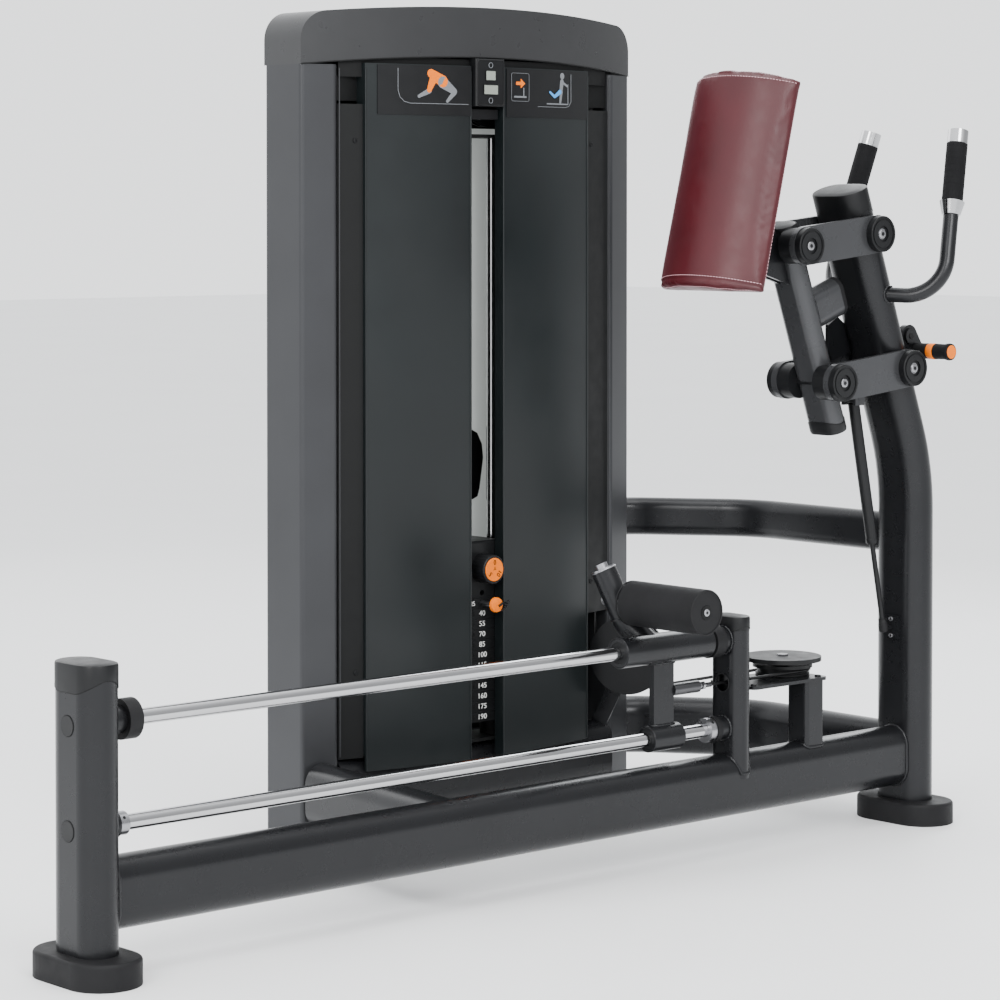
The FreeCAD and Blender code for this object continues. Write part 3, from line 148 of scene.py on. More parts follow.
def surface(name, colour, rough, metal=0.0, vary=0.12, blotch=7.0, grain=700.0, bump=0.06, depth=0.0004,
            stretch=(1, 1, 1), coat=0.0, sheen=0.0, rough_spread=0.06, speck=0.5):
    """A finished surface: drifting colour, uneven gloss and fine relief."""
    material = bpy.data.materials.new(name)
    material.use_nodes = True
    tree = material.node_tree
    make, join = tree.nodes.new, tree.links.new
    shader = tree.nodes["Principled BSDF"]
    shader.inputs["Metallic"].default_value = metal
    shader.inputs["Coat Weight"].default_value = coat
    shader.inputs["Coat Roughness"].default_value = 0.12
    shader.inputs["Sheen Weight"].default_value = sheen
    shader.inputs["Specular IOR Level"].default_value = speck
    place = make("ShaderNodeTexCoord")
    scaled = make("ShaderNodeMapping")
    scaled.inputs["Scale"].default_value = stretch
    join(place.outputs["Object"], scaled.inputs["Vector"])

    def cloud(scale, detail=4.0):
        node = make("ShaderNodeTexNoise")
        node.inputs["Scale"].default_value = scale
        node.inputs["Detail"].default_value = detail
        join(scaled.outputs["Vector"], node.inputs["Vector"])
        return node.outputs["Fac"]

    def ranged(source, low, high, to_low, to_high):
        node = make("ShaderNodeMapRange")
        for key, number in (("From Min", low), ("From Max", high), ("To Min", to_low), ("To Max", to_high)):
            node.inputs[key].default_value = number
        join(source, node.inputs["Value"])
        return node.outputs["Result"]

    paint = make("ShaderNodeMix")
    paint.data_type = "RGBA"
    join(ranged(cloud(blotch), 0.3, 0.7, 0, 1), paint.inputs["Factor"])
    paint.inputs["A"].default_value = tone(colour, 1 - vary)
    paint.inputs["B"].default_value = tone(colour, 1 + vary)
    join(paint.outputs["Result"], shader.inputs["Base Color"])
    join(ranged(cloud(blotch * 5), 0.3, 0.7, rough - rough_spread, rough + rough_spread),
         shader.inputs["Roughness"])
    relief = make("ShaderNodeBump")
    relief.inputs["Strength"].default_value = bump
    relief.inputs["Distance"].default_value = depth
    join(cloud(grain, 2.0), relief.inputs["Height"])
    join(relief.outputs["Normal"], shader.inputs["Normal"])
    return material


FRAME = surface("charcoal_paint", (0.0105, 0.0109, 0.0124), 0.28, metal=0.35, vary=0.07, bump=0.03,
                rough_spread=0.015, speck=0.38)
UPRIGHT = surface("upright_paint", (0.036, 0.037, 0.040), 0.31, metal=0.4, vary=0.06, bump=0.03,
                  rough_spread=0.015, speck=0.35)
LINKAGE = surface("linkage_paint", (0.046, 0.047, 0.050), 0.28, metal=0.4, vary=0.06, bump=0.03,
                  rough_spread=0.015, speck=0.38)
SHROUD = surface("smoked_shroud", (0.0045, 0.0066, 0.0072), 0.36, vary=0.2, blotch=2.5, grain=260,
                 bump=0.03, rough_spread=0.04, speck=0.36)
TRIM = surface("dark_trim", (0.0035, 0.0038, 0.0040), 0.5, grain=900, bump=0.08, speck=0.22)
CAP = surface("moulded_cap", (0.026, 0.0265, 0.028), 0.29, metal=0.2, vary=0.06, grain=1300, bump=0.05,
              rough_spread=0.02, speck=0.45)
BLACK = surface("black_plastic", (0.0045, 0.0048, 0.0055), 0.42, grain=1500, bump=0.15, speck=0.26)
INSIDE = surface("inner_black", (0.003, 0.0032, 0.0034), 0.55, grain=900, bump=0.1, speck=0.2)
RUBBER = surface("foot_rubber", (0.0060, 0.0060, 0.0068), 0.62, vary=0.25, grain=2100, bump=0.35,
                 speck=0.22)
FOAM = surface("grip_foam", (0.005, 0.005, 0.0058), 0.75, vary=0.3, grain=1700, bump=0.7, depth=0.0006,
               speck=0.15)
CHROME = surface("chrome", (0.52, 0.52, 0.53), 0.14, metal=1, vary=0.05, grain=420, bump=0.02,
                 stretch=(0.2, 5, 5), rough_spread=0.04)
STEEL = surface("zinc_steel", (0.34, 0.34, 0.355), 0.3, metal=1, vary=0.12, grain=900, bump=0.1)
DARK_STEEL = surface("dark_steel", (0.10, 0.10, 0.105), 0.32, metal=1, vary=0.15, grain=900, bump=0.1)
STACK = surface("stack_paint", (0.0045, 0.0048, 0.0053), 0.42, metal=0.1, vary=0.25, grain=800, bump=0.25,
                speck=0.25)
ORANGE = surface("orange_plastic", (0.78, 0.165, 0.002), 0.45, vary=0.06, grain=1200, bump=0.08, speck=0.12)
CABLE = surface("cable_sheath", (0.005, 0.005, 0.0055), 0.36, grain=2600, bump=0.3, speck=0.3)
# Painted light: the grey liner glows by its own emission, a lit grey band where there is no lamp.
GLOWING_LINER = surface("glowing_grey_liner", (0.66, 0.68, 0.66), 0.6, vary=0.06, grain=500, bump=0.08)
liner_glow_shader = GLOWING_LINER.node_tree.nodes["Principled BSDF"]
liner_glow_shader.inputs["Emission Color"].default_value = (0.62, 0.66, 0.64, 1)
liner_glow_shader.inputs["Emission Strength"].default_value = 0.35
WHITE = surface("white_print", (0.78, 0.78, 0.76), 0.5, vary=0.04)
GREY = surface("grey_print", (0.14, 0.148, 0.16), 0.5, vary=0.05)
BLUE = surface("blue_print", (0.05, 0.28, 0.66), 0.5, vary=0.05)
SCREEN = surface("display_glass", (0.24, 0.265, 0.23), 0.14, vary=0.05, bump=0.01, coat=0.3)
THREAD = surface("pale_thread", (0.60, 0.36, 0.39), 0.7, grain=4000, bump=0.6)
WELD = surface("painted_weld", (0.0140, 0.0145, 0.0162), 0.28, metal=0.4, grain=500, bump=0.4, speck=0.45)


def leather_material():
    """Pearl upholstery vinyl: fine pebbled grain, soft sheen and slight drift of colour."""
    material = surface("burgundy_vinyl", (0.046, 0.0009, 0.0040), 0.40, vary=0.14, blotch=9, sheen=0.10,
                       grain=1500, bump=0.2, depth=0.0005, rough_spread=0.05, speck=0.42)
    tree = material.node_tree
    shader = tree.nodes["Principled BSDF"]
    shader.inputs["Sheen Tint"].default_value = (1.0, 0.55, 0.62, 1)
    shader.inputs["Sheen Roughness"].default_value = 0.35
    relief = next(node for node in tree.nodes if node.type == "BUMP")
    cells = tree.nodes.new("ShaderNodeTexVoronoi")
    cells.feature = "DISTANCE_TO_EDGE"
    cells.inputs["Scale"].default_value = 620
    place = next(node for node in tree.nodes if node.type == "TEX_COORD")
    tree.links.new(place.outputs["Object"], cells.inputs["Vector"])
    second = tree.nodes.new("ShaderNodeBump")
    second.inputs["Strength"].default_value = 0.22
    second.inputs["Distance"].default_value = 0.0004
    tree.links.new(cells.outputs["Distance"], second.inputs["Height"])
    tree.links.new(relief.outputs["Normal"], second.inputs["Normal"])
    tree.links.new(second.outputs["Normal"], shader.inputs["Normal"])
    return material


VINYL = leather_material()
FLOOR = surface("studio_floor", (0.90, 0.905, 0.91), 0.6, vary=0.01, blotch=1, grain=60, bump=0.01)


def dress(material, *names):
    """Give CAD nodes their material."""
    for name in names:
        mesh = nodes[name].data
        if not mesh.materials:
            mesh.materials.append(material)
        for number in range(len(mesh.materials)):
            mesh.materials[number] = material


dress(FRAME, "left_post", "base_beam", "right_column", "right_base_tube", "upper_brace",
      "tower_base_frame", "rod_bracket", "welded_bosses", "pulley_stand", "tower_pulley_bracket",
      "handle_tubes", "column_brackets", "carriage_frame", "roller_arm", "pad_bracket", "release_lever")
dress(UPRIGHT, "tower_uprights")
dress(LINKAGE, "front_upright", "lower_link_pair", "upper_links")
dress(CAP, "top_cap")
dress(SHROUD, "left_front_shroud", "right_front_shroud")
dress(TRIM, "back_and_side_trims")
dress(BLACK, "tube_caps", "pulley_guard", "label_panels", "display_frame", "linear_bearings",
      "cable_pulley", "tower_pulley", "top_pulley_right", "top_pulley_left", "front_pivots", "pad_board",
      "gas_spring_body", "gas_spring_rod")
dress(INSIDE, "tower_inner_frame")
dress(RUBBER, "rubber_feet", "rubber_bumpers", "front_upright_caps", "foot_roller")
dress(FOAM, "handle_grips")
dress(CHROME, "guide_rods", "handle_bright_caps", "selector_stem")
dress(STEEL, "shaft_collars", "pivot_bolts", "roller_shaft")
dress(DARK_STEEL, "cable_terminal")
dress(STACK, "weight_plates", "lifted_plates", "addon_housing")
dress(CABLE, "cable_return")


# ---------------------------------------------------------------- shapes


SHARP_EDGE = math.radians(35)


def settle(obj, body, material):
    """Give a piece its material and the body it rides on."""
    obj.data.materials.append(material)
    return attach(obj, body)


def mesh_piece(name, verts, faces, body, material):
    mesh = bpy.data.meshes.new(name)
    mesh.from_pydata([tuple(v) for v in verts], [], faces)
    mesh.update()
    mesh.polygons.foreach_set("use_smooth", [True] * len(mesh.polygons))
    mesh.set_sharp_from_angle(angle=SHARP_EDGE)
    return settle(link(name, mesh), body, material)


def rings_to_faces(count, steps):
    """Faces between count rings of steps points each, not closed at the ends."""
    faces = []
    for row in range(count - 1):
        below, above = row * steps, (row + 1) * steps
        for k in range(steps):
            n = (k + 1) % steps
            faces.append((below + k, below + n, above + n, above + k))
    return faces


def lathe(name, centre, axis, profile, body, material, steps=48, rib=None):
    """A turned piece from (radius, height) pairs; rib gives a factor on the radius round the turn."""
    axis = Vector(axis).normalized()
    side = axis.orthogonal().normalized()
    other = axis.cross(side)
    verts = []
    for radius, height in profile:
        for k in range(steps):
            angle = 2 * math.pi * k / steps
            size = radius * (rib(angle) if rib else 1)
            out = side * math.cos(angle) + other * math.sin(angle)
            verts.append(Vector(centre) + axis * height + out * size)
    faces = rings_to_faces(len(profile), steps)
    faces.append(tuple(reversed(range(steps))))
    faces.append(tuple(range(len(verts) - steps, len(verts))))
    return mesh_piece(name, verts, faces, body, material)


def line(name, points, radius, body, material, closed=False, smooth=False, ripple=0.0):
    """A round line through points; ripple makes it uneven, like a weld."""
    curve = bpy.data.curves.new(name, "CURVE")
    curve.dimensions = "3D"
    curve.bevel_depth = radius
    curve.bevel_resolution = 3
    curve.use_fill_caps = True
    spline = curve.splines.new("NURBS" if smooth else "POLY")
    spline.points.add(len(points) - 1)
    for number, point in enumerate(points):
        spline.points[number].co = (*point, 1)
        spline.points[number].radius = 1 + ripple * math.sin(number * 1.9)
    if smooth:
        spline.order_u = 3
        spline.use_endpoint_u = True
    spline.use_cyclic_u = closed
    return settle(link(name, curve), body, material)


def weld(name, points, radius, body, ripple=0.2):
    """A weld bead along a closed run of points."""
    return line(name, points, radius, body, WELD, closed=True, ripple=ripple)


def patch(name, corners, to_place, body, material, lift=0.0003):
    """A flat printed shape: its outline in the panel's own two directions, lifted off the panel."""
    outline = [to_place(a, b, lift) for a, b in corners]
    mesh = bpy.data.meshes.new(name)
    mesh.from_pydata([tuple(v) for v in outline], [], [tuple(range(len(outline)))])
    mesh.update()
    return settle(link(name, mesh), body, material)


def screw(name, at, axis, radius, body, material=None, high=0.004):
    """A round socket head: domed edge, and a dark hexagon in the middle."""
    head = [(radius, 0), (radius, high * 0.6), (radius * 0.9, high * 0.93), (radius * 0.78, high),
            (radius * 0.5, high), (radius * 0.5, high * 0.8)]
    lathe(name, at, axis, head, body, material or STEEL, steps=32)
    floor = Vector(at) + Vector(axis).normalized() * (high * 0.82)
    socket = [(radius * 0.46, 0), (radius * 0.46, high * 0.1)]
    lathe(name + "_hex", floor, axis, socket, body, BLACK, steps=6)


def stadium(long, short, steps=14):
    """Outline of a flat-sided oval, long side along the first direction."""
    radius, straight = short / 2, (long - short) / 2
    points = []
    for end, start in ((1, -90), (-1, 90)):
        for k in range(steps + 1):
            angle = math.radians(start + 180 * k / steps)
            points.append((end * straight + radius * math.cos(angle), radius * math.sin(angle)))
    return points


def wavy_cap(name, top, up, first, second, tube, drop, wave, body):
    """A tube's moulded cap: a sleeve whose lower edge waves round the tube, with a rounded top.

    Each of its rings has a growth over the tube's outline, and a height below the top or a lift
    over the waved edge.
    """
    rings = []
    long, short = tube
    outline = stadium(long, short)
    reach = [math.cos(2 * math.atan2(b / short, a / long)) for a, b in outline]
    shape = [(0.0002, None, 0), (0.0012, None, 0.0006), (0.0012, -0.004, 0), (0.0, -0.0008, 0),
             (-0.004, 0.0006, 0), (-0.014, 0.002, 0)]
    for grow, height, lift in shape:
        ring = []
        for (a, b), swing in zip(outline, reach):
            size = math.hypot(a, b)
            low = -drop + wave * swing
            level = low + lift if height is None else height
            factor = (size + grow) / size
            ring.append(top + first * (a * factor) + second * (b * factor) + up * level)
        rings.append(ring)
    verts = [point for ring in rings for point in ring]
    steps = len(outline)
    faces = rings_to_faces(len(rings), steps)
    faces.append(tuple(range(len(verts) - steps, len(verts))))
    seam = []
    for (a, b), swing in zip(outline, reach):
        factor = 1 + 0.0005 / math.hypot(a, b)
        seam.append(top + first * (a * factor) + second * (b * factor) + up * (-drop + wave * swing))
    line(name + "_seam", seam, 0.0009, body, INSIDE, closed=True)
    return mesh_piece(name, verts, faces, body, BLACK)


def circle(centre, axis, radius, count=40):
    axis = Vector(axis).normalized()
    side = axis.orthogonal().normalized()
    other = axis.cross(side)
    return [Vector(centre) + (side * math.cos(t) + other * math.sin(t)) * radius
            for t in (2 * math.pi * k / count for k in range(count))]


def text(name, words, at, size, body, material, facing, up=Z, squeeze=1.0):
    curve = bpy.data.curves.new(name, "FONT")
    curve.body = words
    curve.size = size
    curve.extrude = 0.0002
    curve.align_x = "CENTER"
    curve.align_y = "CENTER"
    item = link(name, curve)
    facing = Vector(facing).normalized()
    across = up.cross(facing).normalized()
    turn = Matrix((across * squeeze, facing.cross(across), facing)).transposed()
    item.matrix_world = Matrix.Translation(at) @ turn.to_4x4()
    return settle(item, body, material)


# ---------------------------------------------------------------- frame detail

def on_beam(y):
    """Height of a weld bead on the beam's rounded top, y to the side of its middle."""
    return BEAM_FLAT + math.sqrt(max(0.0, BEAM_ROUND ** 2 - y ** 2)) + 0.001


def frame_detail():
    wavy_cap("left_post_top", Vector((0, 0, 0.488)), Z, Y, X, POST_TUBE, 0.036, 0.012, "frame")
    wavy_cap("rod_bracket_top", Vector((BRACKET_X, 0, 0.436)), Z, Y, X, BAR_TUBE, 0.024, 0.006, "frame")
    head = Vector((1.7117, 0, 1.200)) + LEAN_UP * 0.014
    wavy_cap("column_top", head, LEAN_UP, Y, -LEAN_OUT, POST_TUBE, 0.052, 0.012, "frame")
    for number, high in enumerate((LOWER_ROD, UPPER_ROD)):
        ring = circle((-0.0352, 0, high), X, 0.0165, 36)
        line(f"plug_edge_{number}", ring, 0.0006, "frame", INSIDE, closed=True)
    bosses = [(0.0362, UPPER_ROD, 0.0228), (0.0362, LOWER_ROD, 0.0208),
              (1.3932, UPPER_ROD, 0.0248), (1.3932, LOWER_ROD, 0.0218)]
    for number, (x, high, radius) in enumerate(bosses):
        weld(f"boss_weld_{number}", circle((x, 0, high), X, radius, 60), 0.0024, "frame", ripple=0.22)
    outline = stadium(*POST_TUBE, 20)
    for number, where in enumerate((0.0355, 1.8645)):
        points = [Vector((where, b, 0.1265 + a)) for a, b in outline]
        weld(f"beam_weld_{number}", points, 0.0026, "frame")
    square = []
    for sx, sy, start in ((1, 1, 0), (-1, 1, 90), (-1, -1, 180), (1, -1, 270)):
        for k in range(5):
            angle = math.radians(start + 22.5 * k)
            square.append((sx * 0.017 + 0.008 * math.cos(angle), sy * 0.017 + 0.008 * math.sin(angle)))
    points = []
    for a, b in square:
        points.append(Vector((1.617 + a, b, on_beam(b))))
    weld("pulley_post_weld", points, 0.0028, "frame")
    points = [Vector((BRACKET_X + b, a, on_beam(a))) for a, b in stadium(*BAR_TUBE, 14)]
    weld("bracket_weld", points, 0.0026, "frame")
    ring = circle((1.393, 0, CABLE_HIGH), X, 0.0165, 40)
    line("cable_hole_edge", ring, 0.0011, "frame", BLACK, closed=True)
    for number, (x, y) in enumerate(((1.46, -0.015), (1.634, -0.015), (1.46, 0.078), (1.64, 0.078))):
        screw(f"plate_screw_{number}", (x, y, 0.303), Z, 0.006, "frame", BLACK, high=0.003)
    for k in range(4):
        angle = math.radians(45 + 90 * k)
        out = Vector((0, math.cos(angle), math.sin(angle)))
        hole = Vector((1.3525, 0, LOWER_ROD)) + out * 0.0219
        lathe(f"collar_hole_{k}", hole, out, [(0.0028, 0), (0.0028, 0.0003)], "frame", INSIDE, steps=16)
    out = Vector((0, -0.8, 0.6))
    hole = Vector((0.059, 0, LOWER_ROD)) + out * 0.0184
    lathe("left_collar_hole", hole, out, [(0.0026, 0), (0.0026, 0.0003)], "frame", INSIDE, steps=16)


def on_arm(high):
    """The point of the front upright's middle line at a height."""
    return Vector((1.645 - (high - 0.855) * math.tan(LEAN), 0, high))


def pivot_detail():
    lower_rear = Vector((1.829, 0, 0.876))
    upper_rear = lower_rear + Vector((-0.0925, 0, 0.2545))
    reach = Vector((-0.197, 0, -0.021))
    face = 0.0808                       # from the middle plane to the sunk face of a pivot cap
    for label, centre, body in (("lower_rear", lower_rear, "frame"), ("upper_rear", upper_rear, "frame"),
                                ("lower_front", lower_rear + reach, "pad_arm"),
                                ("upper_front", upper_rear + reach, "pad_arm")):
        for side, where in ((-1, "near"), (1, "far")):
            at = centre + Y * (side * (face - 0.0006))
            screw(f"{label}_{where}_bolt", at, Y * side, 0.0085, body, high=0.0032)
            rim = circle(centre + Y * (side * (face + 0.003)), Y, 0.0325, 56)
            line(f"{label}_{where}_rim", rim, 0.0012, body, BLACK, closed=True)
    root = on_arm(0.978) + LEAN_OUT * 0.0225
    points = [root + Y * b + LEAN_UP * a for a, b in stadium(0.0775, 0.0455, 16)]
    weld("stub_weld", points, 0.0024, "pad_arm")
    for name, high, up in (("front_upright_foot", 0.768, -LEAN_UP), ("front_upright_top", 1.140, LEAN_UP)):
        wavy_cap(name, on_arm(high) + up * 0.008, up, Y, LEAN_OUT, BAR_TUBE, 0.022, 0.005, "pad_arm")


def carriage_detail():
    arm_top, elbow = Vector((1.166, 0.076, 0.530)), Vector((1.190, 0.042, 0.438))
    along = (arm_top - elbow).normalized()
    ring = circle(arm_top + along * 0.001, along, 0.0228, 40)
    line("arm_ring", ring, 0.0014, "carriage", STEEL, closed=True)
    side = (-Y - along * (-Y).dot(along)).normalized()
    screw("arm_screw", arm_top - along * 0.062 + side * 0.0228, side, 0.006, "carriage", high=0.003)
    seam = elbow + along * 0.012
    weld("arm_weld", circle(seam, along, 0.0237, 48), 0.0018, "carriage")
    lips = ((1.130, UPPER_ROD, 0.0262), (1.348, UPPER_ROD, 0.0262),
            (1.201, LOWER_ROD, 0.0222), (1.275, LOWER_ROD, 0.0222))
    for number, (start, high, radius) in enumerate(lips):
        ring = circle((start, 0, high), X, radius, 56)
        line(f"sleeve_lip_{number}", ring, 0.0014, "carriage", FRAME, closed=True)
    outline = ((0, -0.006), (0.0125, -0.007), (0.025, -0.007), (0.0375, -0.007), (0.05, -0.006),
               (0.051, 0), (0.05, 0.006), (0.025, 0.007), (0, 0.006), (-0.001, 0))
    for name, rod, sleeve, side in (("bar_upper_weld", UPPER_ROD, 0.0275, -1),
                                    ("bar_lower_weld", LOWER_ROD, 0.0235, 1)):
        points = [Vector((1.212 + dx, y, rod + side * (math.sqrt(sleeve ** 2 - y * y) + 0.0005)))
                  for dx, y in outline]
        weld(name, points, 0.0022, "carriage")
    lathe("roller_recess", (ROLLER_X, -0.1726, ROLLER_HIGH), Y, [(0.0125, 0), (0.0125, 0.001)], "roller",
          INSIDE, steps=40)
    screw("roller_bolt", (ROLLER_X, -0.1727, ROLLER_HIGH), -Y, 0.0065, "carriage", high=0.002)
    for number, end in enumerate((-0.1722, 0.0138)):
        edge = circle((ROLLER_X, end, ROLLER_HIGH), Y, 0.0385, 56)
        line(f"roller_edge_{number}", edge, 0.0014, "roller", RUBBER, closed=True)
    neck = [(0.011, 0), (0.0105, 0.004), (0.0062, 0.0075), (0.0062, 0.013)]
    lathe("swage_neck", (1.322, 0, CABLE_HIGH), X, neck, "carriage", STEEL, steps=24)
    lathe("stud_nut", (1.338, 0, CABLE_HIGH), X, [(0.0078, 0), (0.0078, 0.006)], "carriage", STEEL, steps=6)


# ---------------------------------------------------------------- tower detail

def front(x, out=0.0):
    """How far back the tower's bowed front is at x, or a face that lies further out."""
    return BOW_CENTRE - math.sqrt((BOW_RADIUS + out) ** 2 - (x - TOWER_X) ** 2)


def on_front(x, z, out=0.0):
    return Vector((x, front(x, out), z))


def rounded_rectangle(x0, z0, x1, z1, corner=0.006, steps=5):
    points = []
    for cx, cz, start in ((x1 - corner, z1 - corner, 0), (x0 + corner, z1 - corner, 90),
                          (x0 + corner, z0 + corner, 180), (x1 - corner, z0 + corner, 270)):
        for k in range(steps + 1):
            angle = math.radians(start + 90 * k / steps)
            points.append((cx + corner * math.cos(angle), cz + corner * math.sin(angle)))
    return points


def blob(ax, az, bx, bz, wide_a, wide_b, steps=8):
    """Outline of a limb: a rounded bar from one point to another."""
    angle = math.atan2(bz - az, bx - ax)
    points = []
    for (cx, cz, size, start) in ((bx, bz, wide_b, -90), (ax, az, wide_a, 90)):
        for k in range(steps + 1):
            turn = angle + math.radians(start + 180 * k / steps)
            points.append((cx + size * math.cos(turn), cz + size * math.sin(turn)))
    return points


def on_label(x, z, out):
    """A point on the label panels, which are 1.7 mm in front of the bow."""
    return on_front(x, z, 0.0017 + out)


def label_graphics():
    """Plain figures, an arrow and border lines on the two label panels."""
    def limb(name, a, b, wide, material, level=0.0004):
        patch(name, blob(*a, *b, *wide), on_label, "frame", material, level)
    border = ((0.940, 1.432), (0.940, 1.392), (0.944, 1.380), (0.953, 1.372), (0.966, 1.369),
              (1.020, 1.369), (1.094, 1.369))
    line("left_label_line", [on_front(x, z, 0.0022) for x, z in border], 0.0006, "frame", GREY)
    limb("trunk_sign", (1.010, 1.424), (1.036, 1.410), (0.008, 0.011), ORANGE)
    limb("thigh_sign", (1.036, 1.408), (1.062, 1.392), (0.011, 0.006), GREY)
    limb("calf_sign", (1.062, 1.390), (1.046, 1.374), (0.005, 0.003), GREY)
    limb("rear_thigh_sign", (1.014, 1.412), (1.006, 1.394), (0.008, 0.005), ORANGE, 0.0006)
    limb("rear_calf_sign", (1.006, 1.392), (0.984, 1.382), (0.005, 0.003), GREY)
    edge = [on_front(x, z, 0.0022) for x, z in rounded_rectangle(1.200, 1.378, 1.246, 1.430, 0.004)]
    line("small_frame_line", edge, 0.0004, "frame", GREY, closed=True)
    patch("arrow_sign", [(1.212, 1.408), (1.224, 1.408), (1.224, 1.402), (1.236, 1.411), (1.224, 1.420),
                         (1.224, 1.414), (1.212, 1.414)], on_label, "frame", ORANGE)
    limb("seat_sign", (1.208, 1.386), (1.238, 1.386), (0.0016, 0.0016), GREY)
    limb("seat_post_sign", (1.232, 1.386), (1.232, 1.402), (0.0014, 0.0014), GREY)
    border = ((1.270, 1.369), (1.350, 1.369), (1.360, 1.372), (1.366, 1.380), (1.366, 1.432))
    line("right_label_line", [on_front(x, z, 0.0022) for x, z in border], 0.0005, "frame", GREY)
    patch("head_sign", [(1.340 + 0.0062 * math.cos(t), 1.428 + 0.0062 * math.sin(t))
                        for t in (2 * math.pi * k / 18 for k in range(18))], on_label, "frame", GREY)
    limb("body_sign", (1.339, 1.417), (1.336, 1.400), (0.0055, 0.0045), GREY)
    limb("arm_sign", (1.341, 1.416), (1.356, 1.409), (0.0025, 0.002), GREY)
    limb("stand_leg_sign", (1.337, 1.398), (1.334, 1.378), (0.0042, 0.0028), GREY)
    limb("swing_leg_sign", (1.333, 1.398), (1.318, 1.389), (0.0045, 0.003), BLUE, 0.0006)
    limb("swing_foot_sign", (1.317, 1.389), (1.304, 1.397), (0.003, 0.002), BLUE, 0.0006)
    limb("base_sign", (1.296, 1.375), (1.356, 1.375), (0.0012, 0.0012), GREY)
    limb("post_sign", (1.357, 1.375), (1.357, 1.412), (0.0012, 0.0012), GREY)


def display_detail():
    def on_display(x, z, out):
        return Vector((x, 0.352 - out, z))
    rim = [Vector((x, 0.3518, z)) for x, z in rounded_rectangle(1.109, 1.369, 1.174, 1.451, 0.006)]
    line("display_rim", rim, 0.0009, "frame", BLACK, closed=True)
    for name, box in (("upper_window", (1.129, 1.414, 1.153, 1.432)),
                      ("lower_window", (1.124, 1.388, 1.159, 1.406))):
        points = rounded_rectangle(*box, 0.002)
        patch(name, points, on_display, "frame", SCREEN, 0.0012)
        edge = [on_display(x, z, 0.0012) for x, z in points]
        line(name + "_edge", edge, 0.0007, "frame", BLACK, closed=True)
    for name, z in (("upper_sign", 1.442), ("lower_sign", 1.377)):
        ring = circle((1.141, 0.3512, z), Y, 0.0048, 24)
        line(name, ring, 0.0006, "frame", GREY, closed=True)


def tower_detail():
    seam = []
    wide, rise, low = 0.813, 0.020, 1.436   # width, rise and ends of the arched lower edge of the cap
    radius = ((wide / 2) ** 2 + rise ** 2) / (2 * rise)
    for k in range(61):
        x = 0.756 + 0.811 * k / 60
        high = low + rise - radius + math.sqrt(radius ** 2 - (x - TOWER_X) ** 2)
        seam.append(on_front(x, high, 0.0004))
    line("cap_seam", seam, 0.0013, "frame", INSIDE)
    verts, count = [], 40
    for k in range(count + 1):
        x = 0.830 + 0.663 * k / count
        verts += [on_front(x, z, -back)
                  for z, back in ((1.415, 0.009), (1.452, 0.009), (1.452, 0.011), (1.415, 0.011))]
    faces = rings_to_faces(count + 1, 4) + [(3, 2, 1, 0), tuple(range(len(verts) - 4, len(verts)))]
    mesh_piece("cap_inner_lip", verts, faces, "frame", INSIDE)
    for label, x in (("left", 0.8262), ("right", 1.4968)):
        points = [Vector((x, front(x) + 0.0005, z)) for z in (0.19, 0.6, 1.0, 1.43)]
        line(f"{label}_upright_edge", points, 0.0012, "frame", UPRIGHT)
    for label, x in (("left_outer", 0.8765), ("left_inner", 1.1015), ("right_inner", 1.1815),
                     ("right_outer", 1.4205)):
        points = [on_front(x, z, 0.0002) for z in (0.162, 0.5, 0.9, 1.43)]
        line(f"{label}_shroud_edge", points, 0.0016, "frame", SHROUD)
    for number, (x, z) in enumerate(((0.860, 0.34), (0.860, 1.30), (1.440, 0.46), (1.440, 1.30))):
        screw(f"trim_screw_{number}", on_front(x, z, -0.0062), -Y, 0.0045, "frame", BLACK, high=0.002)
    # A glowing sheet behind the stack: its emission is painted light, a lit grey band seen between the
    # shrouds.
    verts = [(1.10, 0.5140, 0.20), (1.33, 0.5140, 0.20), (1.33, 0.5140, 1.33), (1.10, 0.5140, 1.33),
             (1.10, 0.5120, 0.20), (1.33, 0.5120, 0.20), (1.33, 0.5120, 1.33), (1.10, 0.5120, 1.33)]
    faces = [(0, 1, 2, 3), (7, 6, 5, 4), (0, 4, 5, 1), (1, 5, 6, 2), (2, 6, 7, 3), (3, 7, 4, 0)]
    mesh_piece("rear_glowing_liner", verts, faces, "frame", GLOWING_LINER)
    tear = [(1.190, 0.766), (1.222, 0.762), (1.246, 0.750), (1.258, 0.728), (1.261, 0.702), (1.257, 0.676),
            (1.252, 0.645), (1.247, 0.629), (1.235, 0.624), (1.190, 0.623)]
    patch("shadow_guard", tear, lambda a, b, out: Vector((a, 0.508, b)), "frame", INSIDE)
    for number, x in enumerate((0.91, 1.07, 1.31, 1.45)):
        screw(f"rail_bolt_{number}", (x, 0.6560, 0.1265), Y, 0.007, "frame", STEEL, high=0.004)
    for number, z in enumerate((0.30, 0.75, 1.20)):
        for side, x in (("left", 0.842), ("right", 1.481)):
            screw(f"rear_screw_{side}_{number}", (x, 0.5180, z), Y, 0.0045, "frame", STEEL, high=0.002)


PLATE_COUNT, LOWEST_PLATE, PLATE_PITCH = 11, 0.222, 0.0193
HEAVIEST, WEIGHT_STEP = 190, 15


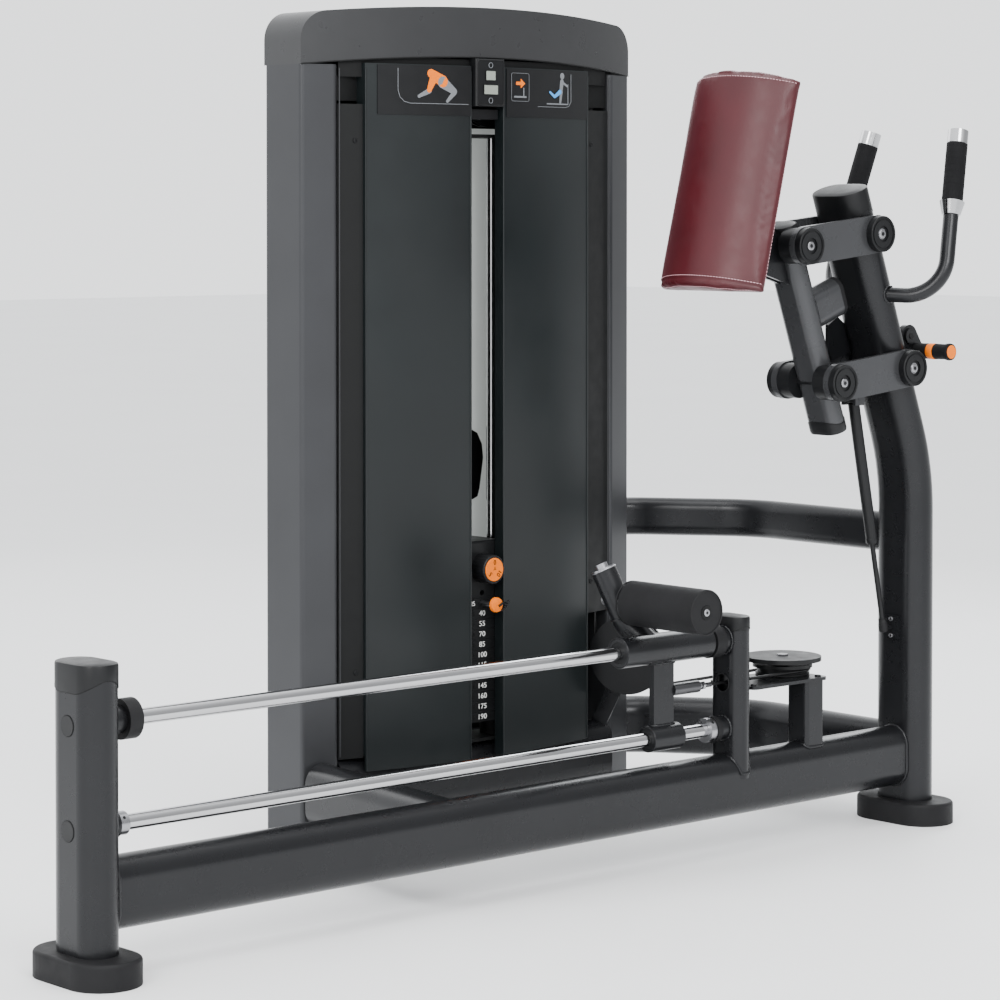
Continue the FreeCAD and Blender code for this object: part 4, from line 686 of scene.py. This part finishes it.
def stack_detail():
    for number in range(PLATE_COUNT):
        middle = LOWEST_PLATE + number * PLATE_PITCH + 0.0094
        weight = HEAVIEST - WEIGHT_STEP * number
        text(f"plate_mark_{weight}", str(weight), Vector((STACK_X, 0.3856, middle)), 0.0135, "frame",
             WHITE, -Y, squeeze=1.15)
        ring = circle((1.127, 0.3858, middle), Y, 0.0035, 18)
        line(f"plate_hole_{number}", ring, 0.0008, "frame", INSIDE, closed=True)
    text("plate_mark_25", "25", Vector((1.127, 0.3856, 0.4437)), 0.0125, "stack", WHITE, -Y, squeeze=0.9)
    face = Vector((STACK_X, 0.3520, 0.509))
    rim = [(0.0262, 0.034), (0.0270, 0.030), (0.0270, 0.004), (0.0262, 0.001), (0.0248, 0), (0.0222, 0),
           (0.0218, 0.001)]
    dial = lathe("dial_rim", face, Y, rim[::-1], "dial", BLACK, steps=96,
                 rib=lambda angle: 1 + 0.008 * math.sin(24 * angle))
    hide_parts("selector_dial")
    plate = [(0.0216, -0.003), (0.0216, 0.0008), (0.0208, 0.0016), (0.001, 0.0018)]
    lathe("dial_face_plate", face, -Y, plate, "dial", ORANGE, steps=64)
    for words, degrees in (("0", 90), ("5", 215), ("10", 325)):
        turn = math.radians(degrees)
        at = face + Vector((math.cos(turn) * 0.0130, -0.0021, math.sin(turn) * 0.0130))
        up = Vector((math.cos(turn), 0, math.sin(turn)))
        text(f"dial_mark_{words}", words, at, 0.0125, "dial", INSIDE, -Y, up=up)
    arrow = ((0, 0.0015), (0.003, -0.001), (0, 0.005), (-0.003, -0.001))
    points = [Vector((STACK_X + dx, 0.3500, 0.509 + dz)) for dx, dz in arrow]
    line("dial_pointer", points, 0.0004, "dial", INSIDE, closed=True)
    centre = Vector((STACK_X, 0.345, 0.44395))
    head = [(0.0128, 0.006), (0.0140, 0.0045), (0.0140, 0.0010), (0.0132, -0.0018), (0.0105, -0.0030)]
    pin = lathe("pin_head", centre, Y, head[::-1], "pin", ORANGE, steps=64)
    lathe("pin_shaft", centre, Y, [(0.0048, 0.004), (0.0048, 0.093), (0.003, 0.096)], "pin", STEEL, steps=24)
    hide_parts("selector_pin")
    lathe("pin_latch", centre + Vector((0.004, -0.004, -0.001)), Vector((1, 0, 0.5)),
          [(0.0022, -0.002), (0.0022, 0.009)], "pin", INSIDE, steps=16)
    coil = []
    for k in range(90):
        turn = k * 0.72
        t = k / 89
        coil.append(Vector((1.166 + 0.016 * t + 0.004 * math.cos(turn),
                            0.366 - 0.016 * t + 0.0045 * math.sin(turn),
                            0.437 - 0.012 * math.sin(math.pi * t) + 0.012 * t)))
    line("pin_lanyard", coil, 0.0012, "stack", CABLE, smooth=True)
    for label, x in (("1102", 1.112), ("1198", 1.188)):
        screw(f"housing_screw_{label}", (x, 0.386, 0.545), -Y, 0.004, "stack", STEEL, high=0.002)


def cables():
    """The two stretches that change length in use."""
    def strand(name, start, end, node):
        steps, rounds, radius = 40, 16, 0.003
        along = end - start
        side = along.orthogonal().normalized()
        other = along.normalized().cross(side)
        verts = []
        for row in range(steps + 1):
            centre = start + along * (row / steps)
            for k in range(rounds):
                angle = 2 * math.pi * k / rounds
                verts.append(centre + (side * math.cos(angle) + other * math.sin(angle)) * radius)
        faces = rings_to_faces(steps + 1, rounds)
        faces += [tuple(reversed(range(rounds))), tuple(range(len(verts) - rounds, len(verts)))]
        mesh = bpy.data.meshes.new(name)
        mesh.from_pydata([tuple(v) for v in verts], [], faces)
        mesh.update()
        mesh.polygons.foreach_set("use_smooth", [True] * len(mesh.polygons))
        mesh.materials.append(CABLE)
        obj = link(name, mesh)
        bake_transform(obj)
        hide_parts(node)
    strand("drive_strand", Vector((1.350, 0, CABLE_HIGH)), Vector((1.607, 0, CABLE_HIGH)),
           "cable_drive")
    strand("stack_strand", Vector((STACK_X, 0.433, 0.558)), Vector((STACK_X, 0.433, 1.385)),
           "cable_drop")


# ---------------------------------------------------------------- lever, handles and gas spring

def lever_detail():
    grip = Vector((1.890, 0, 0.906))
    profile = [(0.0135, -0.030), (0.0148, -0.034), (0.0150, -0.040), (0.0147, -0.052), (0.0150, -0.0675)]
    grips = lathe("lever_grip_inner", grip, Y, profile, "lever", FOAM)
    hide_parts("lever_grip_set")
    lathe("lever_ring", grip, Y, [(0.0146, -0.0672), (0.0154, -0.069), (0.0154, -0.082), (0.0146, -0.084)],
          "lever", ORANGE)
    outer = [(0.0150, -0.0838), (0.0146, -0.095), (0.0144, -0.106), (0.0158, -0.111), (0.0164, -0.116),
             (0.0158, -0.1195), (0.0135, -0.1205)]
    lathe("lever_grip_outer", grip, Y, outer, "lever", FOAM)
    lathe("lever_end_disc", grip, -Y, [(0.0128, 0.118), (0.0128, 0.1212), (0.0118, 0.1222)], "lever", ORANGE)
    screw("lever_pivot_bolt", (1.872, -0.037, 0.934), -Y, 0.006, "frame", BLACK, high=0.002)


def handle_detail():
    for name, side in (("near", -1), ("far", 1)):
        low = Vector((1.884, side * 0.126, 1.190))
        top = Vector((1.922, side * 0.109, 1.325))
        axis = (top - low).normalized()
        for number in range(9):
            centre = low + axis * (0.008 + 0.0125 * number)
            ring = circle(centre, axis, 0.0199, 40)
            line(f"{name}_grip_rib_{number}", ring, 0.0004, "frame", FOAM, closed=True)
        ring = circle(low + axis * 0.1155, axis, 0.0192, 40)
        line(f"{name}_cap_edge", ring, 0.0009, "frame", CHROME, closed=True)
        start = Vector((1.7855, side * 0.0565, 1.0158))
        weld(f"{name}_handle_weld", circle(start, Y, 0.0150, 40), 0.0024, "frame", ripple=0.22)


def spring_detail():
    foot, top = Vector((1.836, 0, 0.374)), Vector((1.747, 0, 0.818))
    axis = (top - foot).normalized()
    cylinder = 0.279                    # from the upper eye down to the cylinder's open end
    collar = top - axis * (cylinder + 0.002)
    lathe("spring_collar", collar, axis, [(0.0100, -0.003), (0.0116, 0), (0.0116, 0.006), (0.0111, 0.008)],
          "spring_tube", BLACK, steps=32)
    lathe("spring_socket_boot", foot - axis * 0.006, axis, [(0.0085, 0), (0.0092, 0.004), (0.0092, 0.014),
          (0.007, 0.022), (0.0056, 0.027)], "spring_shaft", RUBBER, steps=32)
    for number, z in enumerate((0.358, 0.390)):
        screw(f"spring_foot_screw_{number}", (1.859, 0.0, z), -X, 0.0045, "frame", STEEL, high=0.003)


# ---------------------------------------------------------------- chest pad

PAD_LEAN = math.radians(14.2)
PAD_BACK = Vector((math.cos(PAD_LEAN), 0, -math.sin(PAD_LEAN)))
PAD_UP = Vector((math.sin(PAD_LEAN), 0, math.cos(PAD_LEAN)))
PAD_FOOT = Vector((1.376, 0, 1.026))
HALF, DEEP, LONG = 0.130, 0.080, 0.398  # half the pad's width, its depth at the crown, its length
SIDE = 0.014                            # depth of its blunt sides
CROWN = (HALF ** 2 + (DEEP - SIDE) ** 2) / (2 * (DEEP - SIDE))  # radius of the crowned front
HUB = CROWN - DEEP                      # how far behind the back that radius has its centre
SEAM, SEAM_HALF, SEAM_DEEP = 0.0085, 0.004, 0.0017  # seams: from each end, half their width, their depth
SWELL = 0.004                           # how far the cover may move when it swells


def pad_point(u, v, w):
    """A point from the pad's own directions: back, across and up."""
    return PAD_FOOT + PAD_BACK * u + Y * v + PAD_UP * w


def pad_section(inset):
    """The pad's outline across its length: a crowned front, short sides and a flat back."""
    half, deep = HALF - inset, DEEP - SIDE - inset
    crown = (half ** 2 + deep ** 2) / (2 * deep)
    spread = math.asin(min(1.0, half / crown))
    points = []
    for k in range(29):
        angle = -spread + 2 * spread * k / 28
        points.append((crown - deep - SIDE - crown * math.cos(angle), crown * math.sin(angle)))
    points += [(-SIDE * 0.45, half), (-inset * 0.4, half - 0.003)]
    for k in range(1, 12):
        t = k / 12
        points.append((-inset * 0.4, (half - 0.003) * (1 - 2 * t)))
    points += [(-inset * 0.4, 0.003 - half), (-SIDE * 0.45, -half)]
    return points


def inflate(obj, cap):
    """Let the cover swell over its foam, held to a small movement."""
    rest = [v.co.copy() for v in obj.data.vertices]
    cloth = obj.modifiers.new("cover", "CLOTH")
    cloth.settings.quality = 5
    cloth.settings.mass = 0.3
    cloth.settings.use_pressure = True
    cloth.settings.uniform_pressure_force = 4.0
    cloth.settings.effector_weights.gravity = 0
    scene = bpy.context.scene
    for number in range(1, 21):
        scene.frame_set(number)
    moved = obj.evaluated_get(bpy.context.evaluated_depsgraph_get()).data
    target = [v.co.copy() for v in moved.vertices]
    obj.modifiers.remove(cloth)
    scene.frame_set(1)
    for vertex, before, after in zip(obj.data.vertices, rest, target):
        shift = after - before
        if shift.length > cap:
            shift *= cap / shift.length
        vertex.co = before + shift


def chest_pad():
    section = pad_section(0.003)
    steps = len(section)
    verts, rows = [], 22
    for row in range(rows + 1):
        w = -0.003 + LONG * row / rows
        verts += [pad_point(u, v, w) for u, v in section]
    faces = rings_to_faces(rows + 1, steps)
    faces += [tuple(reversed(range(steps))), tuple(range(len(verts) - steps, len(verts)))]
    mesh = bpy.data.meshes.new("chest_pad_cover")
    mesh.from_pydata([tuple(v) for v in verts], [], faces)
    mesh.update()
    pad = link("chest_pad_cover", mesh)
    bpy.context.view_layer.objects.active = pad
    remesh = pad.modifiers.new("even", "REMESH")
    remesh.mode = "VOXEL"
    remesh.voxel_size = 0.0045
    bpy.ops.object.select_all(action="DESELECT")
    pad.select_set(True)
    bpy.ops.object.modifier_apply(modifier="even")
    inflate(pad, SWELL)
    finish_pad(pad)
    return pad


def finish_pad(pad):
    """Round the corners, sink the seams and smooth the cover."""
    bpy.context.view_layer.objects.active = pad
    ease = pad.modifiers.new("ease", "SMOOTH")
    ease.factor, ease.iterations = 0.5, 3
    bpy.ops.object.modifier_apply(modifier="ease")
    round_up = pad.modifiers.new("fine", "SUBSURF")
    round_up.levels = round_up.render_levels = 1
    bpy.ops.object.modifier_apply(modifier="fine")
    for vertex in pad.data.vertices:
        local = vertex.co - PAD_FOOT
        w, v, u = local.dot(PAD_UP), local.y, local.dot(PAD_BACK)
        gap = min(abs(w - SEAM), abs(LONG - SEAM - w))
        if gap < SEAM_HALF and u < -0.004:
            centre = PAD_FOOT + PAD_UP * w + PAD_BACK * HUB
            inward = (centre - vertex.co).normalized()
            vertex.co += inward * (SEAM_DEEP * (1 - (gap / SEAM_HALF) ** 2))
    pad.data.polygons.foreach_set("use_smooth", [True] * len(pad.data.polygons))
    settle(pad, "pad_arm", VINYL)
    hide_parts("chest_pad")
    stitch_pad(pad)


def stitch_pad(pad):
    """Rows of short stitches laid on the cover beside its seams."""
    tree = BVHTree.FromObject(pad, bpy.context.evaluated_depsgraph_get())
    verts, faces = [], []

    def stitch(at, along, normal, half=0.0022, wide=0.00055):
        side = normal.cross(along).normalized()
        base = len(verts)
        for reach, grow in ((-1, 0.35), (-0.6, 1), (0.6, 1), (1, 0.35)):
            for turn in range(6):
                angle = math.pi * turn / 3
                verts.append(at + along * (reach * half) + (side * math.cos(angle) * wide
                                                            + normal * math.sin(angle) * wide * 0.8) * grow)
        for row in range(3):
            for k in range(6):
                n, ring = (k + 1) % 6, base + row * 6
                faces.append((ring + k, ring + n, ring + 6 + n, ring + 6 + k))
        faces.append(tuple(base + k for k in reversed(range(6))))
        faces.append(tuple(base + 18 + k for k in range(6)))

    def row(origins, aims):
        hits = []
        for origin, aim in zip(origins, aims):
            hit, normal, _, _ = tree.ray_cast(origin, aim.normalized())
            hits.append((hit, normal) if hit is not None else None)
        for before, here, after in zip(hits, hits[1:], hits[2:]):
            if before and here and after:
                stitch(here[0] + here[1] * 0.0002, (after[0] - before[0]).normalized(), here[1])

    spread = math.asin(HALF / CROWN)
    count = 52
    for w in (0.0135, LONG - 0.0135):
        origins, aims = [], []
        for k in range(count + 1):
            angle = -spread * 0.985 + 2 * spread * 0.985 * k / count
            out = PAD_BACK * -math.cos(angle) + Y * math.sin(angle)
            origins.append(pad_point(HUB, 0, w) + out * 0.25)
            aims.append(-out)
        row(origins, aims)
    for direction, w in ((PAD_UP, -0.1), (-PAD_UP, LONG + 0.1)):
        origins = []
        for k in range(count + 1):
            angle = -spread * 0.93 + 2 * spread * 0.93 * k / count
            radius = CROWN - 0.010
            origins.append(pad_point(HUB - radius * math.cos(angle), radius * math.sin(angle), w))
        row(origins, [direction] * len(origins))
    for side in (-1, 1):
        origins, aims = [], []
        for k in range(61):
            w = 0.014 + (LONG - 0.028) * k / 60
            origins.append(pad_point(-SIDE * 0.55, side * 0.3, w))
            aims.append(Y * -side)
        row(origins, aims)
    mesh_piece("pad_stitching", verts, faces, "pad_arm", THREAD)


FLOOR_HALF = 30


def make_floor():
    mesh = bpy.data.meshes.new("floor")
    corners = [(a * FLOOR_HALF, b * FLOOR_HALF, 0) for a, b in ((-1, -1), (1, -1), (1, 1), (-1, 1))]
    mesh.from_pydata(corners, [], [(0, 1, 2, 3)])
    mesh.materials.append(FLOOR)
    link("floor", mesh)


frame_detail()
pivot_detail()
carriage_detail()
label_graphics()
display_detail()
tower_detail()
stack_detail()
cables()
lever_detail()
handle_detail()
spring_detail()
chest_pad()
make_floor()
